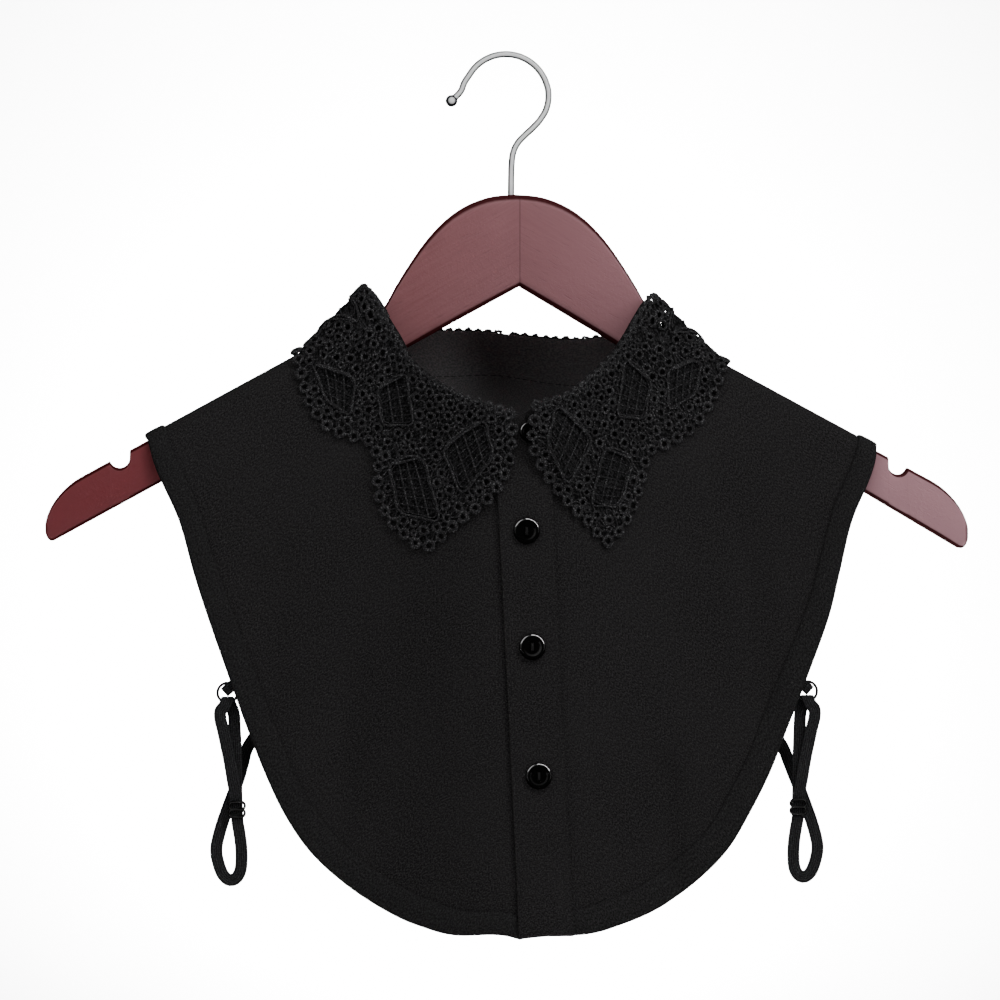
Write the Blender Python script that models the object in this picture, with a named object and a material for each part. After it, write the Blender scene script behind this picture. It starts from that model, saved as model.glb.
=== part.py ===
"""Detachable lace collar with its cloth front and back, on a shaped wooden hanger.

Metres, +Z up. The origin is the inside top of the hanger's hook, where a rail holds it.
The front faces -Y. Cloth is worked out in flat coordinates (x, w): x runs across, and w is
the length of cloth from the shoulder ridge, positive down the front, negative down the back.
"""
import math

import bmesh
import bpy
from mathutils import Vector
from mathutils.geometry import delaunay_2d_cdt

# Frame
HANGER_CENTRE_X = 0.0024      # the stem stands this far right of the hook's bearing point

# Hanger
RIDGE_TOP = -0.0874           # height of the cloth's shoulder ridge, were it carried to its peak
RIDGE_SLOPE = 0.556
RIDGE_CENTRE = -0.0045
RIDGE_BLEND = 0.020
SWEEP_STRAIGHT = 0.10         # the arms sweep forward by this share of x
SWEEP_CURVED = 0.15           # and by this much more times x squared, per metre
ARM_LENGTH = {-1: 0.2226, 1: 0.2167}
ARM_UNDER_SLOPE = {-1: 0.549, 1: 0.603}
UNDER_PEAK = (0.0039, -0.1104)
ARM_BELOW_RIDGE = 0.0025
ARM_HALF_THICKNESS = 0.0054
ARM_EDGE_RADIUS = 0.0040
TIP_TOP_ROUND = (0.0168, 0.0142)      # run and drop of the rounded end
TIP_UNDER_ROUND = (0.0045, 0.0080)
NOTCH = {-1: 0.1877, 1: 0.1841}       # middle of each rounded notch
NOTCH_RADIUS = 0.0047
NOTCH_BELOW_EDGE = 0.0010
NOTCH_TURNS = (0.0, 30.0, 62.0, 90.0, 118.0, 150.0, 180.0)
CROWN_CENTRE = 0.0019
CROWN_ROWS = (                # distance from the crown's centre, height
    (0.0, -0.0662), (0.0100, -0.0670), (0.0180, -0.0692), (0.0265, -0.0733), (0.0350, -0.0798),
    (0.0438, -0.0895), (0.0530, -0.1029), (0.0606, -0.1158), (0.0655, -0.1262),
    (0.0690, -0.1342))
STEM_HOLE_RADIUS = 0.0020
STEM_HOLE_DEPTH = 0.018

# Hook
WIRE_RADIUS = 0.0016
BOW_RADIUS = 0.0206
BOW_CENTRE_Z = -0.0190
HOOK_STEM = (                 # x, z up the stem to the bow
    (0.0024, -0.0820), (0.0024, -0.0650), (0.0026, -0.0512), (0.0033, -0.0452), (0.0050, -0.0415),
    (0.0090, -0.0378), (0.0137, -0.0331), (0.0173, -0.0287), (0.0199, -0.0240))
HOOK_TIP = (                  # x, z, radius: the turned-out end and its ball
    (-0.0201, -0.0122, 0.0016), (-0.0218, -0.0163, 0.0016), (-0.0241, -0.0189, 0.0017),
    (-0.0254, -0.0201, 0.0026), (-0.0264, -0.0211, 0.0029), (-0.0274, -0.0221, 0.0024),
    (-0.0280, -0.0227, 0.0012))

# Cloth
CLOTH = 0.0012
SEAM_GAP = 0.0003
RIDGE_RADIUS = 0.0090
FLARE_RUN = 0.025
FRONT_FLARE = (0.044, 0.058, 2.4, 0.15)   # depth, half width, power, share lost by the hem
BACK_FLARE = (0.036, 0.062, 2.0, 0.55)
HEM_DROP = 0.320
PANEL_STEP = 0.017
RIDGE_STRETCH = 3.2           # facets are this much shorter down the slope where cloth turns the ridge
SOFT_FOLDS = (                # side (front 1, back -1), x, lean, w start, w end, half width, depth
    (1, 0.0700, 0.05, 0.200, 0.285, 0.0075, 0.0030), (1, -0.0780, -0.06, 0.150, 0.265, 0.0090, 0.0022),
    (1, 0.1080, 0.10, 0.060, 0.190, 0.0100, 0.0018), (1, -0.1120, -0.09, 0.070, 0.200, 0.0100, 0.0020),
    (-1, 0.0620, 0.04, 0.100, 0.280, 0.0100, 0.0030), (-1, -0.0500, -0.03, 0.110, 0.290, 0.0110, 0.0026),
    (-1, 0.1150, 0.08, 0.060, 0.200, 0.0100, 0.0020))
SIDE_ROWS = (                 # height, half width on the left, half width on the right
    (-0.1842, 0.1756, 0.1742), (-0.1945, 0.1716, 0.1722), (-0.2050, 0.1674, 0.1686),
    (-0.2235, 0.1592, 0.1608), (-0.2480, 0.1524, 0.1549), (-0.2700, 0.1453, 0.1495),
    (-0.2985, 0.1353, 0.1392), (-0.3225, 0.1266, 0.1298), (-0.3430, 0.1186, 0.1218),
    (-0.3625, 0.1093, 0.1121), (-0.3800, 0.0973, 0.1014), (-0.3950, 0.0811, 0.0862),
    (-0.4070, 0.0630, 0.0688), (-0.4145, 0.0464, 0.0503), (-0.4188, 0.0270, 0.0305),
    (-0.4204, 0.0, 0.0))
BACK_NARROWER = 0.97
BACK_SHORTER = 0.985

# Bindings, placket and buttons
BINDING_ARMHOLE = 0.0085
BINDING_HEM = 0.0105
BINDING_THICKNESS = 0.0009
PLACKET_HALF = 0.0130
PLACKET_TOP = (0.0012, -0.1760)       # x of its middle line at this height
PLACKET_LEAN = 0.049
PLACKET_CORNER_GAP = 0.0008
UNDERLAP = 0.0030
BUTTON_RADIUS = 0.0063
BUTTON_HEIGHTS = (-0.2284, -0.2831, -0.3440)
COLLAR_BUTTON = (0.0045, 0.0900, 0.0050)      # x, w, radius
BUTTON_PROFILE = (            # share of the radius, height off the cloth
    (0.62, 0.0), (0.94, 0.0007), (1.0, 0.0015), (0.95, 0.0024), (0.86, 0.0026), (0.72, 0.0018))

# Collar stand and fold; heights are off the cloth surface
COLLAR_ROWS = (               # left: fold x, fold w, base x, base w; right: the same; fold height
    (0.0, 0.0800, 0.0, 0.0985, 0.0, 0.0770, 0.0, 0.0985, 0.0056),
    (0.0123, 0.0747, 0.0150, 0.0945, 0.0110, 0.0712, 0.0150, 0.0920, 0.0054),
    (0.0253, 0.0663, 0.0310, 0.0835, 0.0235, 0.0615, 0.0300, 0.0790, 0.0054),
    (0.0381, 0.0529, 0.0475, 0.0650, 0.0350, 0.0470, 0.0455, 0.0600, 0.0060),
    (0.0482, 0.0397, 0.0590, 0.0460, 0.0445, 0.0340, 0.0570, 0.0400, 0.0072),
    (0.0540, 0.0270, 0.0660, 0.0280, 0.0530, 0.0200, 0.0650, 0.0210, 0.0090),
    (0.0620, 0.0110, 0.0710, 0.0100, 0.0600, 0.0060, 0.0710, 0.0050, 0.0125),
    (0.0650, -0.0030, 0.0725, -0.0080, 0.0640, -0.0060, 0.0725, -0.0110, 0.0150),
    (0.0590, -0.0150, 0.0670, -0.0260, 0.0580, -0.0160, 0.0670, -0.0260, 0.0120),
    (0.0450, -0.0250, 0.0500, -0.0430, 0.0450, -0.0250, 0.0500, -0.0430, 0.0090),
    (0.0240, -0.0350, 0.0270, -0.0560, 0.0240, -0.0350, 0.0270, -0.0560, 0.0070),
    (0.0, -0.0400, 0.0, -0.0610, 0.0, -0.0400, 0.0, -0.0610, 0.0065))
STAND_BELOW_FOLD = 0.0024
STAND_INSIDE_FOLD = 0.0016
STAND_LAP = 0.0090
STAND_LAP_LIFT = 0.0016
STAND_STEPS = 46
STAND_OVER_RIDGE = 0.0012

# Lace
LACE_THICKNESS = 0.0010
LACE_REST = 0.0012
LACE_OVER_RIDGE = 0.0010
LACE_OVER_PLACKET = 0.0014
LACE_OVER_BUTTON = (0.0100, 0.0860, 0.0140, 0.0050)   # x, w, reach, lift, on the right leaf only
FOLD_FADE = 0.035
PICOT_PITCH = 0.0074
PICOT_DEPTH = 0.0030
LATTICE_OPEN = 0.84
LACE_EDGE_LEFT = (            # distance from the middle, w, from the front opening round to the back
    (0.0050, 0.0800), (0.0040, 0.0900), (0.0050, 0.1000), (0.0085, 0.1100), (0.0160, 0.1185),
    (0.0265, 0.1225), (0.0365, 0.1275), (0.0430, 0.1285), (0.0500, 0.1215), (0.0600, 0.1060),
    (0.0645, 0.0915), (0.0650, 0.0770), (0.0680, 0.0665), (0.0800, 0.0560), (0.0885, 0.0480),
    (0.0970, 0.0320), (0.1015, 0.0150), (0.1025, 0.0020), (0.1010, -0.0130), (0.0960, -0.0290),
    (0.0870, -0.0430), (0.0770, -0.0520), (0.0680, -0.0580), (0.0640, -0.0680), (0.0570, -0.0800),
    (0.0450, -0.0900), (0.0330, -0.0945), (0.0200, -0.0925), (0.0080, -0.0860), (0.0010, -0.0810))
LACE_EDGE_RIGHT = (
    (0.0085, 0.0745), (0.0072, 0.0840), (0.0066, 0.0920), (0.0095, 0.0990), (0.0150, 0.1060),
    (0.0230, 0.1125), (0.0340, 0.1175), (0.0405, 0.1225), (0.0465, 0.1165), (0.0530, 0.1030),
    (0.0575, 0.0890), (0.0600, 0.0770), (0.0640, 0.0670), (0.0740, 0.0575), (0.0850, 0.0440),
    (0.0930, 0.0290), (0.0985, 0.0120), (0.1010, -0.0010), (0.1000, -0.0140), (0.0955, -0.0290),
    (0.0870, -0.0430), (0.0770, -0.0520), (0.0680, -0.0580), (0.0640, -0.0680), (0.0570, -0.0800),
    (0.0450, -0.0900), (0.0330, -0.0945), (0.0200, -0.0925), (0.0080, -0.0860), (0.0010, -0.0810))
SHIELDS_LEFT = (              # four corners as distance from the middle and w; cells across, cells down
    ((0.0170, 0.0815), (0.0335, 0.0865), (0.0262, 0.1110), (0.0125, 0.0990), 3, 4),
    ((0.0450, 0.0860), (0.0590, 0.0820), (0.0550, 0.1060), (0.0370, 0.1190), 3, 5),
    ((0.0515, 0.0450), (0.0640, 0.0440), (0.0625, 0.0610), (0.0485, 0.0680), 2, 4),
    ((0.0770, 0.0320), (0.0940, 0.0170), (0.0900, 0.0345), (0.0785, 0.0480), 3, 3))
SHIELDS_RIGHT = (
    ((0.0180, 0.0715), (0.0330, 0.0780), (0.0225, 0.1040), (0.0125, 0.0900), 3, 4),
    ((0.0415, 0.0790), (0.0540, 0.0770), (0.0480, 0.1020), (0.0345, 0.1080), 2, 5),
    ((0.0510, 0.0345), (0.0630, 0.0360), (0.0600, 0.0545), (0.0470, 0.0600), 2, 4),
    ((0.0735, 0.0260), (0.0885, 0.0125), (0.0860, 0.0290), (0.0735, 0.0430), 3, 3))
SHIELDS_BACK = (
    ((0.0740, 0.0100), (0.0900, -0.0020), (0.0870, -0.0200), (0.0720, -0.0100), 3, 3),
    ((0.0700, -0.0190), (0.0860, -0.0260), (0.0790, -0.0430), (0.0660, -0.0440), 2, 4),
    ((0.0350, -0.0420), (0.0540, -0.0370), (0.0560, -0.0680), (0.0400, -0.0840), 3, 6),
    ((0.0060, -0.0500), (0.0240, -0.0480), (0.0290, -0.0830), (0.0100, -0.0780), 3, 5))

# Side straps, as offsets from the ring's centre: toward the garment, down, and back
STRAP_WIDTH = 0.0060
STRAP_THICKNESS = 0.0008
RING_CENTRE = (0.1385, -0.3048)       # distance from the garment's middle, height
STRAP_MIDDLE_X = 0.0018
RING_RADIUS = 0.0047
RING_WIRE = 0.00055
RING_BEHIND_PANEL = 0.0045
STRAP_ROWS = (                # inward, down, back, facing (0 front, 1 upward, 2 rearward)
    (0.0043, 0.0540, 0.0009, 2.0), (0.0041, 0.0420, 0.0010, 2.0), (0.0039, 0.0300, 0.0011, 2.0),
    (0.0035, 0.0180, 0.0013, 2.0), (0.0030, 0.0100, 0.0014, 2.0), (0.0014, 0.0058, 0.0015, 2.0),
    (0.0001, 0.0028, 0.0012, 1.6), (0.0, 0.0021, 0.0, 1.0), (-0.0001, 0.0028, -0.0012, 0.4),
    (-0.0014, 0.0060, -0.0016, 0.0), (-0.0034, 0.0088, -0.0015, 0.0), (-0.0033, 0.0128, -0.0014, 0.0),
    (-0.0020, 0.0181, -0.0013, 0.0), (0.0008, 0.0313, -0.0010, 0.0), (0.0026, 0.0418, -0.0008, 0.0),
    (0.0040, 0.0500, -0.0006, 0.0), (0.0046, 0.0600, -0.0006, 0.0), (0.0055, 0.0656, -0.0006, 0.0),
    (0.0064, 0.0718, -0.0005, 0.0), (0.0067, 0.0785, -0.0002, 0.0), (0.0061, 0.0844, 0.0002, 0.0),
    (0.0040, 0.0881, 0.0006, 0.0), (0.0009, 0.0889, 0.0010, 0.0), (-0.0022, 0.0862, 0.0014, 0.0),
    (-0.0043, 0.0808, 0.0018, 0.0), (-0.0053, 0.0752, 0.0022, 0.0), (-0.0045, 0.0695, 0.0026, 0.0),
    (-0.0023, 0.0618, 0.0029, 0.0), (0.0004, 0.0542, 0.0031, 0.0), (0.0029, 0.0476, 0.0034, 0.0),
    (0.0054, 0.0409, 0.0060, 0.0), (0.0075, 0.0342, 0.0110, 0.0), (0.0100, 0.0266, 0.0178, 0.0))
STRAP_END = (0.0169, 0.0163)          # inward and down, where it is sewn inside the back panel
SLIDER_CENTRE = (0.0045, 0.0552, -0.0019)
SLIDER_SIZE = (0.0044, 0.0043, 0.0012)        # half width, half height, thickness
SLIDER_BAR = 0.00095
RING_TAPE = (0.0048, 0.0006, 0.0066, 0.0022)  # width, thickness, length past the ring, sewn length
RING_TAPE_FOLD = (-0.0003, -0.0012, 0.0)

MATERIALS = {                 # colour, roughness, metallic
    "black_cloth": ((0.012, 0.011, 0.012), 0.92, 0.0),
    "black_binding": ((0.009, 0.009, 0.009), 0.80, 0.0),
    "black_lace": ((0.014, 0.014, 0.014), 0.85, 0.0),
    "black_button": ((0.006, 0.006, 0.007), 0.18, 0.0),
    "black_elastic": ((0.010, 0.010, 0.011), 0.75, 0.0),
    "black_metal": ((0.010, 0.010, 0.010), 0.30, 0.6),
    "red_brown_wood": ((0.22, 0.065, 0.072), 0.30, 0.0),
    "chromed_wire": ((0.72, 0.72, 0.74), 0.12, 1.0)}

QUARTER = RIDGE_RADIUS * math.pi / 2


def smooth(value):
    """Ease a value from 0 to 1, held inside that range."""
    value = min(1.0, max(0.0, value))
    return value * value * (3 - 2 * value)


def sweep_y(x):
    return -(SWEEP_STRAIGHT * abs(x) + SWEEP_CURVED * x * x)


def ridge_z(x):
    return RIDGE_TOP - RIDGE_SLOPE * math.hypot(x - RIDGE_CENTRE, RIDGE_BLEND)


def flare(shape, x, fall):
    """How far the cloth stands off the hanger's plane after falling this far."""
    depth, half_width, power, lost = shape
    across = depth / (1 + (abs(x) / half_width) ** power)
    return across * (1 - math.exp(-fall / FLARE_RUN)) * (1 - lost * fall / HEM_DROP)


def soft_fold(x, w):
    """Depth of the long soft folds, pressed in from the outside."""
    total = 0.0
    for side, middle, lean, start, end, half_width, depth in SOFT_FOLDS:
        run = (w * side - start) / (end - start)
        if 0 < run < 1:
            away = (x - middle - lean * (w * side - start)) / half_width
            total += depth * math.exp(-away * away) * smooth(min(run, 1 - run) * 4)
    return total


def cloth_base(x, w):
    """Point of the garment's outer surface at a place of the flat cloth."""
    side = 1 if w >= 0 else -1
    length = abs(w)
    turn = min(length, QUARTER) / RIDGE_RADIUS
    fall = max(0.0, length - QUARTER)
    out = RIDGE_RADIUS * math.sin(turn) + flare(FRONT_FLARE if side > 0 else BACK_FLARE, x, fall)
    out -= soft_fold(x, w)
    return Vector((x, sweep_y(x) - side * out, ridge_z(x) - RIDGE_RADIUS * (1 - math.cos(turn)) - fall))


def cloth(x, w, height=0.0):
    """Point at a height off the outer surface, along its outward normal."""
    step = 0.0008
    across = cloth_base(x + step, w) - cloth_base(x - step, w)
    down = cloth_base(x, w + step) - cloth_base(x, w - step)
    return cloth_base(x, w) + down.cross(across).normalized() * height


def w_at(x, z, side=1):
    """Length of cloth from the ridge down to a height."""
    drop = ridge_z(x) - z
    if drop < RIDGE_RADIUS:
        return side * RIDGE_RADIUS * math.acos(1 - max(0.0, drop) / RIDGE_RADIUS)
    return side * (QUARTER + drop - RIDGE_RADIUS)


def curve_through(points, spacing, closed=False):
    """Points at an even spacing on a smooth curve through the given ones."""
    points = [Vector(p) for p in points]
    count = len(points)
    dense = []
    for i in range(count if closed else count - 1):
        a, b = points[i], points[(i + 1) % count]
        before = points[i - 1] if closed or i else a * 2 - b
        after = points[(i + 2) % count] if closed or i + 2 < count else b * 2 - a
        for k in range(12):
            t = k / 12
            dense.append(0.5 * (2 * a + (b - before) * t + (2 * before - 5 * a + 4 * b - after) * t ** 2
                                + (3 * a - before - 3 * b + after) * t ** 3))
    dense.append(points[0] if closed else points[-1])
    total = sum((b - a).length for a, b in zip(dense, dense[1:]))
    steps = max(2, round(total / spacing))
    result, travelled, i = [dense[0]], 0.0, 0
    for k in range(1, steps):
        goal = total * k / steps
        while travelled + (dense[i + 1] - dense[i]).length < goal:
            travelled += (dense[i + 1] - dense[i]).length
            i += 1
        part = (goal - travelled) / (dense[i + 1] - dense[i]).length
        result.append(dense[i].lerp(dense[i + 1], part))
    if not closed:
        result.append(dense[-1])
    return result


def inside(point, polygon):
    """Whether a flat point lies inside a polygon."""
    found = False
    for a, b in zip(polygon, polygon[1:] + polygon[:1]):
        if (a[1] > point[1]) != (b[1] > point[1]):
            if point[0] < a[0] + (point[1] - a[1]) * (b[0] - a[0]) / (b[1] - a[1]):
                found = not found
    return found


def offset_line(line, width_at):
    """A line moved to its left side by a width that may vary along it."""
    moved = []
    for i, point in enumerate(line):
        along = (line[min(i + 1, len(line) - 1)] - line[max(i - 1, 0)]).normalized()
        moved.append(point + Vector((-along[1], along[0])) * width_at(i / (len(line) - 1)))
    return moved


def stretched(w):
    """Length of cloth with the part that turns the ridge drawn out, so that facets there are short."""
    over = min(abs(w), QUARTER)
    return math.copysign(over * RIDGE_STRETCH + abs(w) - over, w)


def unstretched(v):
    over = min(abs(v), QUARTER * RIDGE_STRETCH)
    return math.copysign(over / RIDGE_STRETCH + abs(v) - over, v)


def drawn_out(line, closed):
    """A flat line in stretched lengths, with points where it turns over the ridge."""
    result = []
    for i, a in enumerate(line):
        result.append(Vector((a[0], stretched(a[1]))))
        if closed or i + 1 < len(line):
            b = line[(i + 1) % len(line)]
            levels = [QUARTER * k / 3 for k in range(-3, 4)]
            shares = [(level - a[1]) / (b[1] - a[1]) for level in levels
                      if (a[1] - level) * (b[1] - level) < -1e-9]
            result += [Vector((a[0] + (b[0] - a[0]) * t, stretched(a[1] + (b[1] - a[1]) * t)))
                       for t in sorted(shares)]
    return result


def flat_mesh(outline, holes, lines, step):
    """Triangles of a cut piece of cloth, with its holes open and with lines that facets follow."""
    outline = drawn_out(outline, True)
    holes = [drawn_out(hole, True) for hole in holes]
    lines = [drawn_out(line, False) for line in lines]
    points, edges = [], []
    for loop in [outline] + holes + lines:
        first = len(points)
        points += loop
        edges += [(first + i, first + i + 1) for i in range(len(loop) - 1)]
        if loop not in lines:
            edges.append((len(points) - 1, first))
    borders = list(points)
    ridge = QUARTER * RIDGE_STRETCH
    rows = [(ridge * k / 3, 0.0) for k in range(-3, 4)]
    rows += [(side * (ridge + step * 0.87 * k), 0.5 * (k % 2)) for side in (-1, 1) for k in range(1, 32)]
    low = [min(p[i] for p in outline) for i in (0, 1)]
    high = [max(p[i] for p in outline) for i in (0, 1)]
    for level, shift in rows:
        if low[1] < level < high[1]:
            for k in range(int((high[0] - low[0]) / step) + 1):
                spot = Vector((low[0] + (k + shift) * step, level))
                clear = all((spot - border).length > step * 0.5 for border in borders)
                if clear and inside(spot, outline) and not any(inside(spot, hole) for hole in holes):
                    points.append(spot)
    points, _, faces, *_ = delaunay_2d_cdt(points, edges, [], 0, 1e-7)
    kept = []
    for face in faces:
        a, b, c = (points[i] for i in face)
        middle, doubled = (a + b + c) / 3, abs((b - a).cross(c - a))
        if doubled > 1e-9 and inside(middle, outline) and not any(inside(middle, hole) for hole in holes):
            kept.append(tuple(face))
    return [Vector((p[0], unstretched(p[1]))) for p in points], kept


def new_object(name, mesh, material):
    """Put a finished bmesh in the scene as one named object."""
    bmesh.ops.recalc_face_normals(mesh, faces=mesh.faces)
    data = bpy.data.meshes.new(name)
    mesh.to_mesh(data)
    mesh.free()
    data.materials.append(bpy.data.materials[material])
    item = bpy.data.objects.new(name, data)
    bpy.context.collection.objects.link(item)
    item.parent = bpy.data.objects["hanger_middle"]
    data.shade_smooth()
    data.set_sharp_from_angle(angle=math.radians(40))
    return item


def wall(name, points, faces, outer, inner, material):
    """Close the faces of a flat piece into a wall between two surfaces over it."""
    mesh = bmesh.new()
    used = sorted({i for face in faces for i in face})
    top = {i: mesh.verts.new(outer(*points[i])) for i in used}
    under = {i: mesh.verts.new(inner(*points[i])) for i in used}
    borders = {}
    for face in faces:
        mesh.faces.new([top[i] for i in face])
        mesh.faces.new([under[i] for i in reversed(face)])
        for a, b in zip(face, face[1:] + face[:1]):
            if (b, a) in borders:
                del borders[(b, a)]
            else:
                borders[(a, b)] = True
    for a, b in borders:
        mesh.faces.new((top[b], top[a], under[a], under[b]))
    return new_object(name, mesh, material)


def sweep(name, frames, profile, material, closed=False):
    """Carry a flat profile along frames of centre, first axis and second axis."""
    mesh = bmesh.new()
    rings = [[mesh.verts.new(centre + u * a * grow + v * b * grow) for a, b in profile]
             for centre, u, v, grow in frames]
    for i in range(len(rings) if closed else len(rings) - 1):
        this, following = rings[i], rings[(i + 1) % len(rings)]
        for k in range(len(profile)):
            n = (k + 1) % len(profile)
            mesh.faces.new((this[k], this[n], following[n], following[k]))
    if not closed:
        mesh.faces.new(rings[0])
        mesh.faces.new(rings[-1][::-1])
    return new_object(name, mesh, material)


def circle_profile(radius, sides):
    return [(radius * math.cos(2 * math.pi * k / sides), radius * math.sin(2 * math.pi * k / sides))
            for k in range(sides)]


def clear_scene():
    for item in list(bpy.data.objects):
        bpy.data.objects.remove(item, do_unlink=True)


def make_materials():
    for name, (colour, roughness, metallic) in MATERIALS.items():
        material = bpy.data.materials.new(name)
        material.use_nodes = True
        shader = material.node_tree.nodes["Principled BSDF"]
        shader.inputs["Base Color"].default_value = (*colour, 1.0)
        shader.inputs["Roughness"].default_value = roughness
        shader.inputs["Metallic"].default_value = metallic


def crown_z(x):
    """Height of the hanger's raised middle, or None beside it."""
    away = abs(x - CROWN_CENTRE)
    for (x0, z0), (x1, z1) in zip(CROWN_ROWS, CROWN_ROWS[1:]):
        if x0 <= away <= x1:
            return z0 + (z1 - z0) * (away - x0) / (x1 - x0)
    return None


def wood_top(x):
    """Height of the hanger's upper edge, with its rounded ends and its notches."""
    side = 1 if x > 0 else -1
    line = ridge_z(x) - ARM_BELOW_RIDGE
    crown = crown_z(x)
    if crown is not None:
        return max(line, crown)
    run, drop = TIP_TOP_ROUND
    from_end = min(1.0, (ARM_LENGTH[side] - abs(x)) / run)
    line -= drop * (1 - math.sqrt(max(0.0, 1 - (1 - from_end) ** 2)))
    along = abs(x) - NOTCH[side]
    if abs(along) < NOTCH_RADIUS:
        middle = ridge_z(side * NOTCH[side]) - ARM_BELOW_RIDGE - NOTCH_BELOW_EDGE
        line = min(line, middle - math.sqrt(NOTCH_RADIUS ** 2 - along ** 2))
    return line


def wood_under(x):
    """Height of the hanger's lower edge, which peaks near the middle."""
    side = 1 if x > UNDER_PEAK[0] else -1
    line = UNDER_PEAK[1] - ARM_UNDER_SLOPE[side] * abs(x - UNDER_PEAK[0])
    run, rise = TIP_UNDER_ROUND
    from_end = min(1.0, (ARM_LENGTH[side] - abs(x)) / run)
    return line + rise * (1 - math.sqrt(max(0.0, 1 - (1 - from_end) ** 2)))


def wood_stations():
    """Places across the hanger where its section is given."""
    places = {UNDER_PEAK[0], CROWN_CENTRE}
    for side in (-1, 1):
        places |= {side * (ARM_LENGTH[side] - back) for back in (0.00005, 0.0006, 0.0018, 0.0040, 0.0075,
                                                                0.0120, 0.0168)}
        places |= {side * (NOTCH[side] + NOTCH_RADIUS * 0.9999 * math.cos(math.radians(turn)))
                   for turn in NOTCH_TURNS}
        places |= {side * (NOTCH[side] + shift * (NOTCH_RADIUS + 0.00012)) for shift in (-1, 1)}
        places |= {CROWN_CENTRE + side * row[0] for row in CROWN_ROWS[1:]}
        places |= {side * (0.080 + 0.016 * k) for k in range(7)}
    return sorted(places)


def make_hanger_wood():
    mesh = bmesh.new()
    rings = []
    for x in wood_stations():
        top, under = wood_top(x), wood_under(x)
        radius = min(ARM_EDGE_RADIUS, (top - under) * 0.42)
        ring = []
        for turn, (side, level) in enumerate(((1, top), (-1, top), (-1, under), (1, under))):
            inward = -1 if level == top else 1
            for quarter in (0, 45, 90):
                angle = math.radians(90 * turn + quarter)
                y = sweep_y(x) + side * (ARM_HALF_THICKNESS - radius) + radius * math.cos(angle)
                z = level + inward * radius + radius * math.sin(angle)
                ring.append(mesh.verts.new((x, y, z)))
        rings.append(ring)
    for this, following in zip(rings, rings[1:]):
        for k in range(len(this)):
            n = (k + 1) % len(this)
            mesh.faces.new((this[k], this[n], following[n], following[k]))
    mesh.faces.new(rings[0])
    mesh.faces.new(rings[-1][::-1])
    wood = new_object("hanger_wood", mesh, "red_brown_wood")
    drill = bmesh.new()
    bmesh.ops.create_cone(drill, cap_ends=True, segments=12, radius1=STEM_HOLE_RADIUS,
                          radius2=STEM_HOLE_RADIUS, depth=STEM_HOLE_DEPTH * 2)
    bmesh.ops.translate(drill, verts=drill.verts, vec=(0.0, 0.0, CROWN_ROWS[0][1]))
    cutter = new_object("stem_hole_cutter", drill, "chromed_wire")
    cutter.hide_render = True
    cutter.display_type = "WIRE"
    hole = wood.modifiers.new("stem hole", "BOOLEAN")
    hole.operation = "DIFFERENCE"
    hole.object = cutter


def make_hanger_hook():
    shift = Vector((-HANGER_CENTRE_X, 0, 0))
    route = [(x, 0.0, z, WIRE_RADIUS) for x, z in HOOK_STEM]
    for degrees in range(2, 155, 9):
        angle = math.radians(degrees)
        route.append((BOW_RADIUS * math.cos(angle), 0.0, BOW_CENTRE_Z + BOW_RADIUS * math.sin(angle),
                      WIRE_RADIUS))
    route += [(x, 0.0, z, radius) for x, z, radius in HOOK_TIP]
    frames = []
    for i, (x, y, z, radius) in enumerate(route):
        before, after = Vector(route[max(i - 1, 0)][:3]), Vector(route[min(i + 1, len(route) - 1)][:3])
        along = (after - before).normalized()
        frames.append((Vector((x, y, z)) + shift, Vector((0, 1, 0)), along.cross(Vector((0, 1, 0))), radius))
    sweep("hanger_hook", frames, circle_profile(1.0, 8), "chromed_wire")


def side_line(side, narrower=1.0, shorter=1.0, face=1):
    """Armhole and hem of one side, from the shoulder to the middle of the hem, on the flat cloth."""
    column = 1 if side < 0 else 2
    top = SIDE_ROWS[0][0]
    line = []
    for i, row in enumerate(SIDE_ROWS):
        share = smooth(i / 4)
        x = side * row[column] * (1 - (1 - narrower) * share)
        z = top + (row[0] - top) * (1 - (1 - shorter) * share)
        w = w_at(x, z, face) if i else face * SEAM_GAP / 2
        line.append((x, w))
    return curve_through(line, PANEL_STEP)


def neck_line(face):
    """The neck edge of the front (1) or back (-1), left to right, just clear of the stand."""
    rows = [(-row[2] - SEAM_GAP * 1.5, row[3]) for row in COLLAR_ROWS]
    rows += [(row[6] + SEAM_GAP * 1.5, row[7]) for row in reversed(COLLAR_ROWS[1:-1])]
    loop = curve_through(rows, 0.009, closed=True)
    grown = SEAM_GAP * 2
    part = [Vector((p[0], p[1] + face * grown)) for p in loop if p[1] * face > SEAM_GAP * 4]
    part.sort(key=lambda p: math.atan2(p[0], p[1] * face - 0.02))
    edge = COLLAR_ROWS[7][2] + SEAM_GAP
    return [Vector((-edge, face * SEAM_GAP / 2))] + part + [Vector((edge, face * SEAM_GAP / 2))]


def placket_x(w):
    """The button line's x at a place down the front."""
    z = ridge_z(0.0) - RIDGE_RADIUS - (w - QUARTER)
    return PLACKET_TOP[0] + PLACKET_LEAN * (PLACKET_TOP[1] - z)


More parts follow.
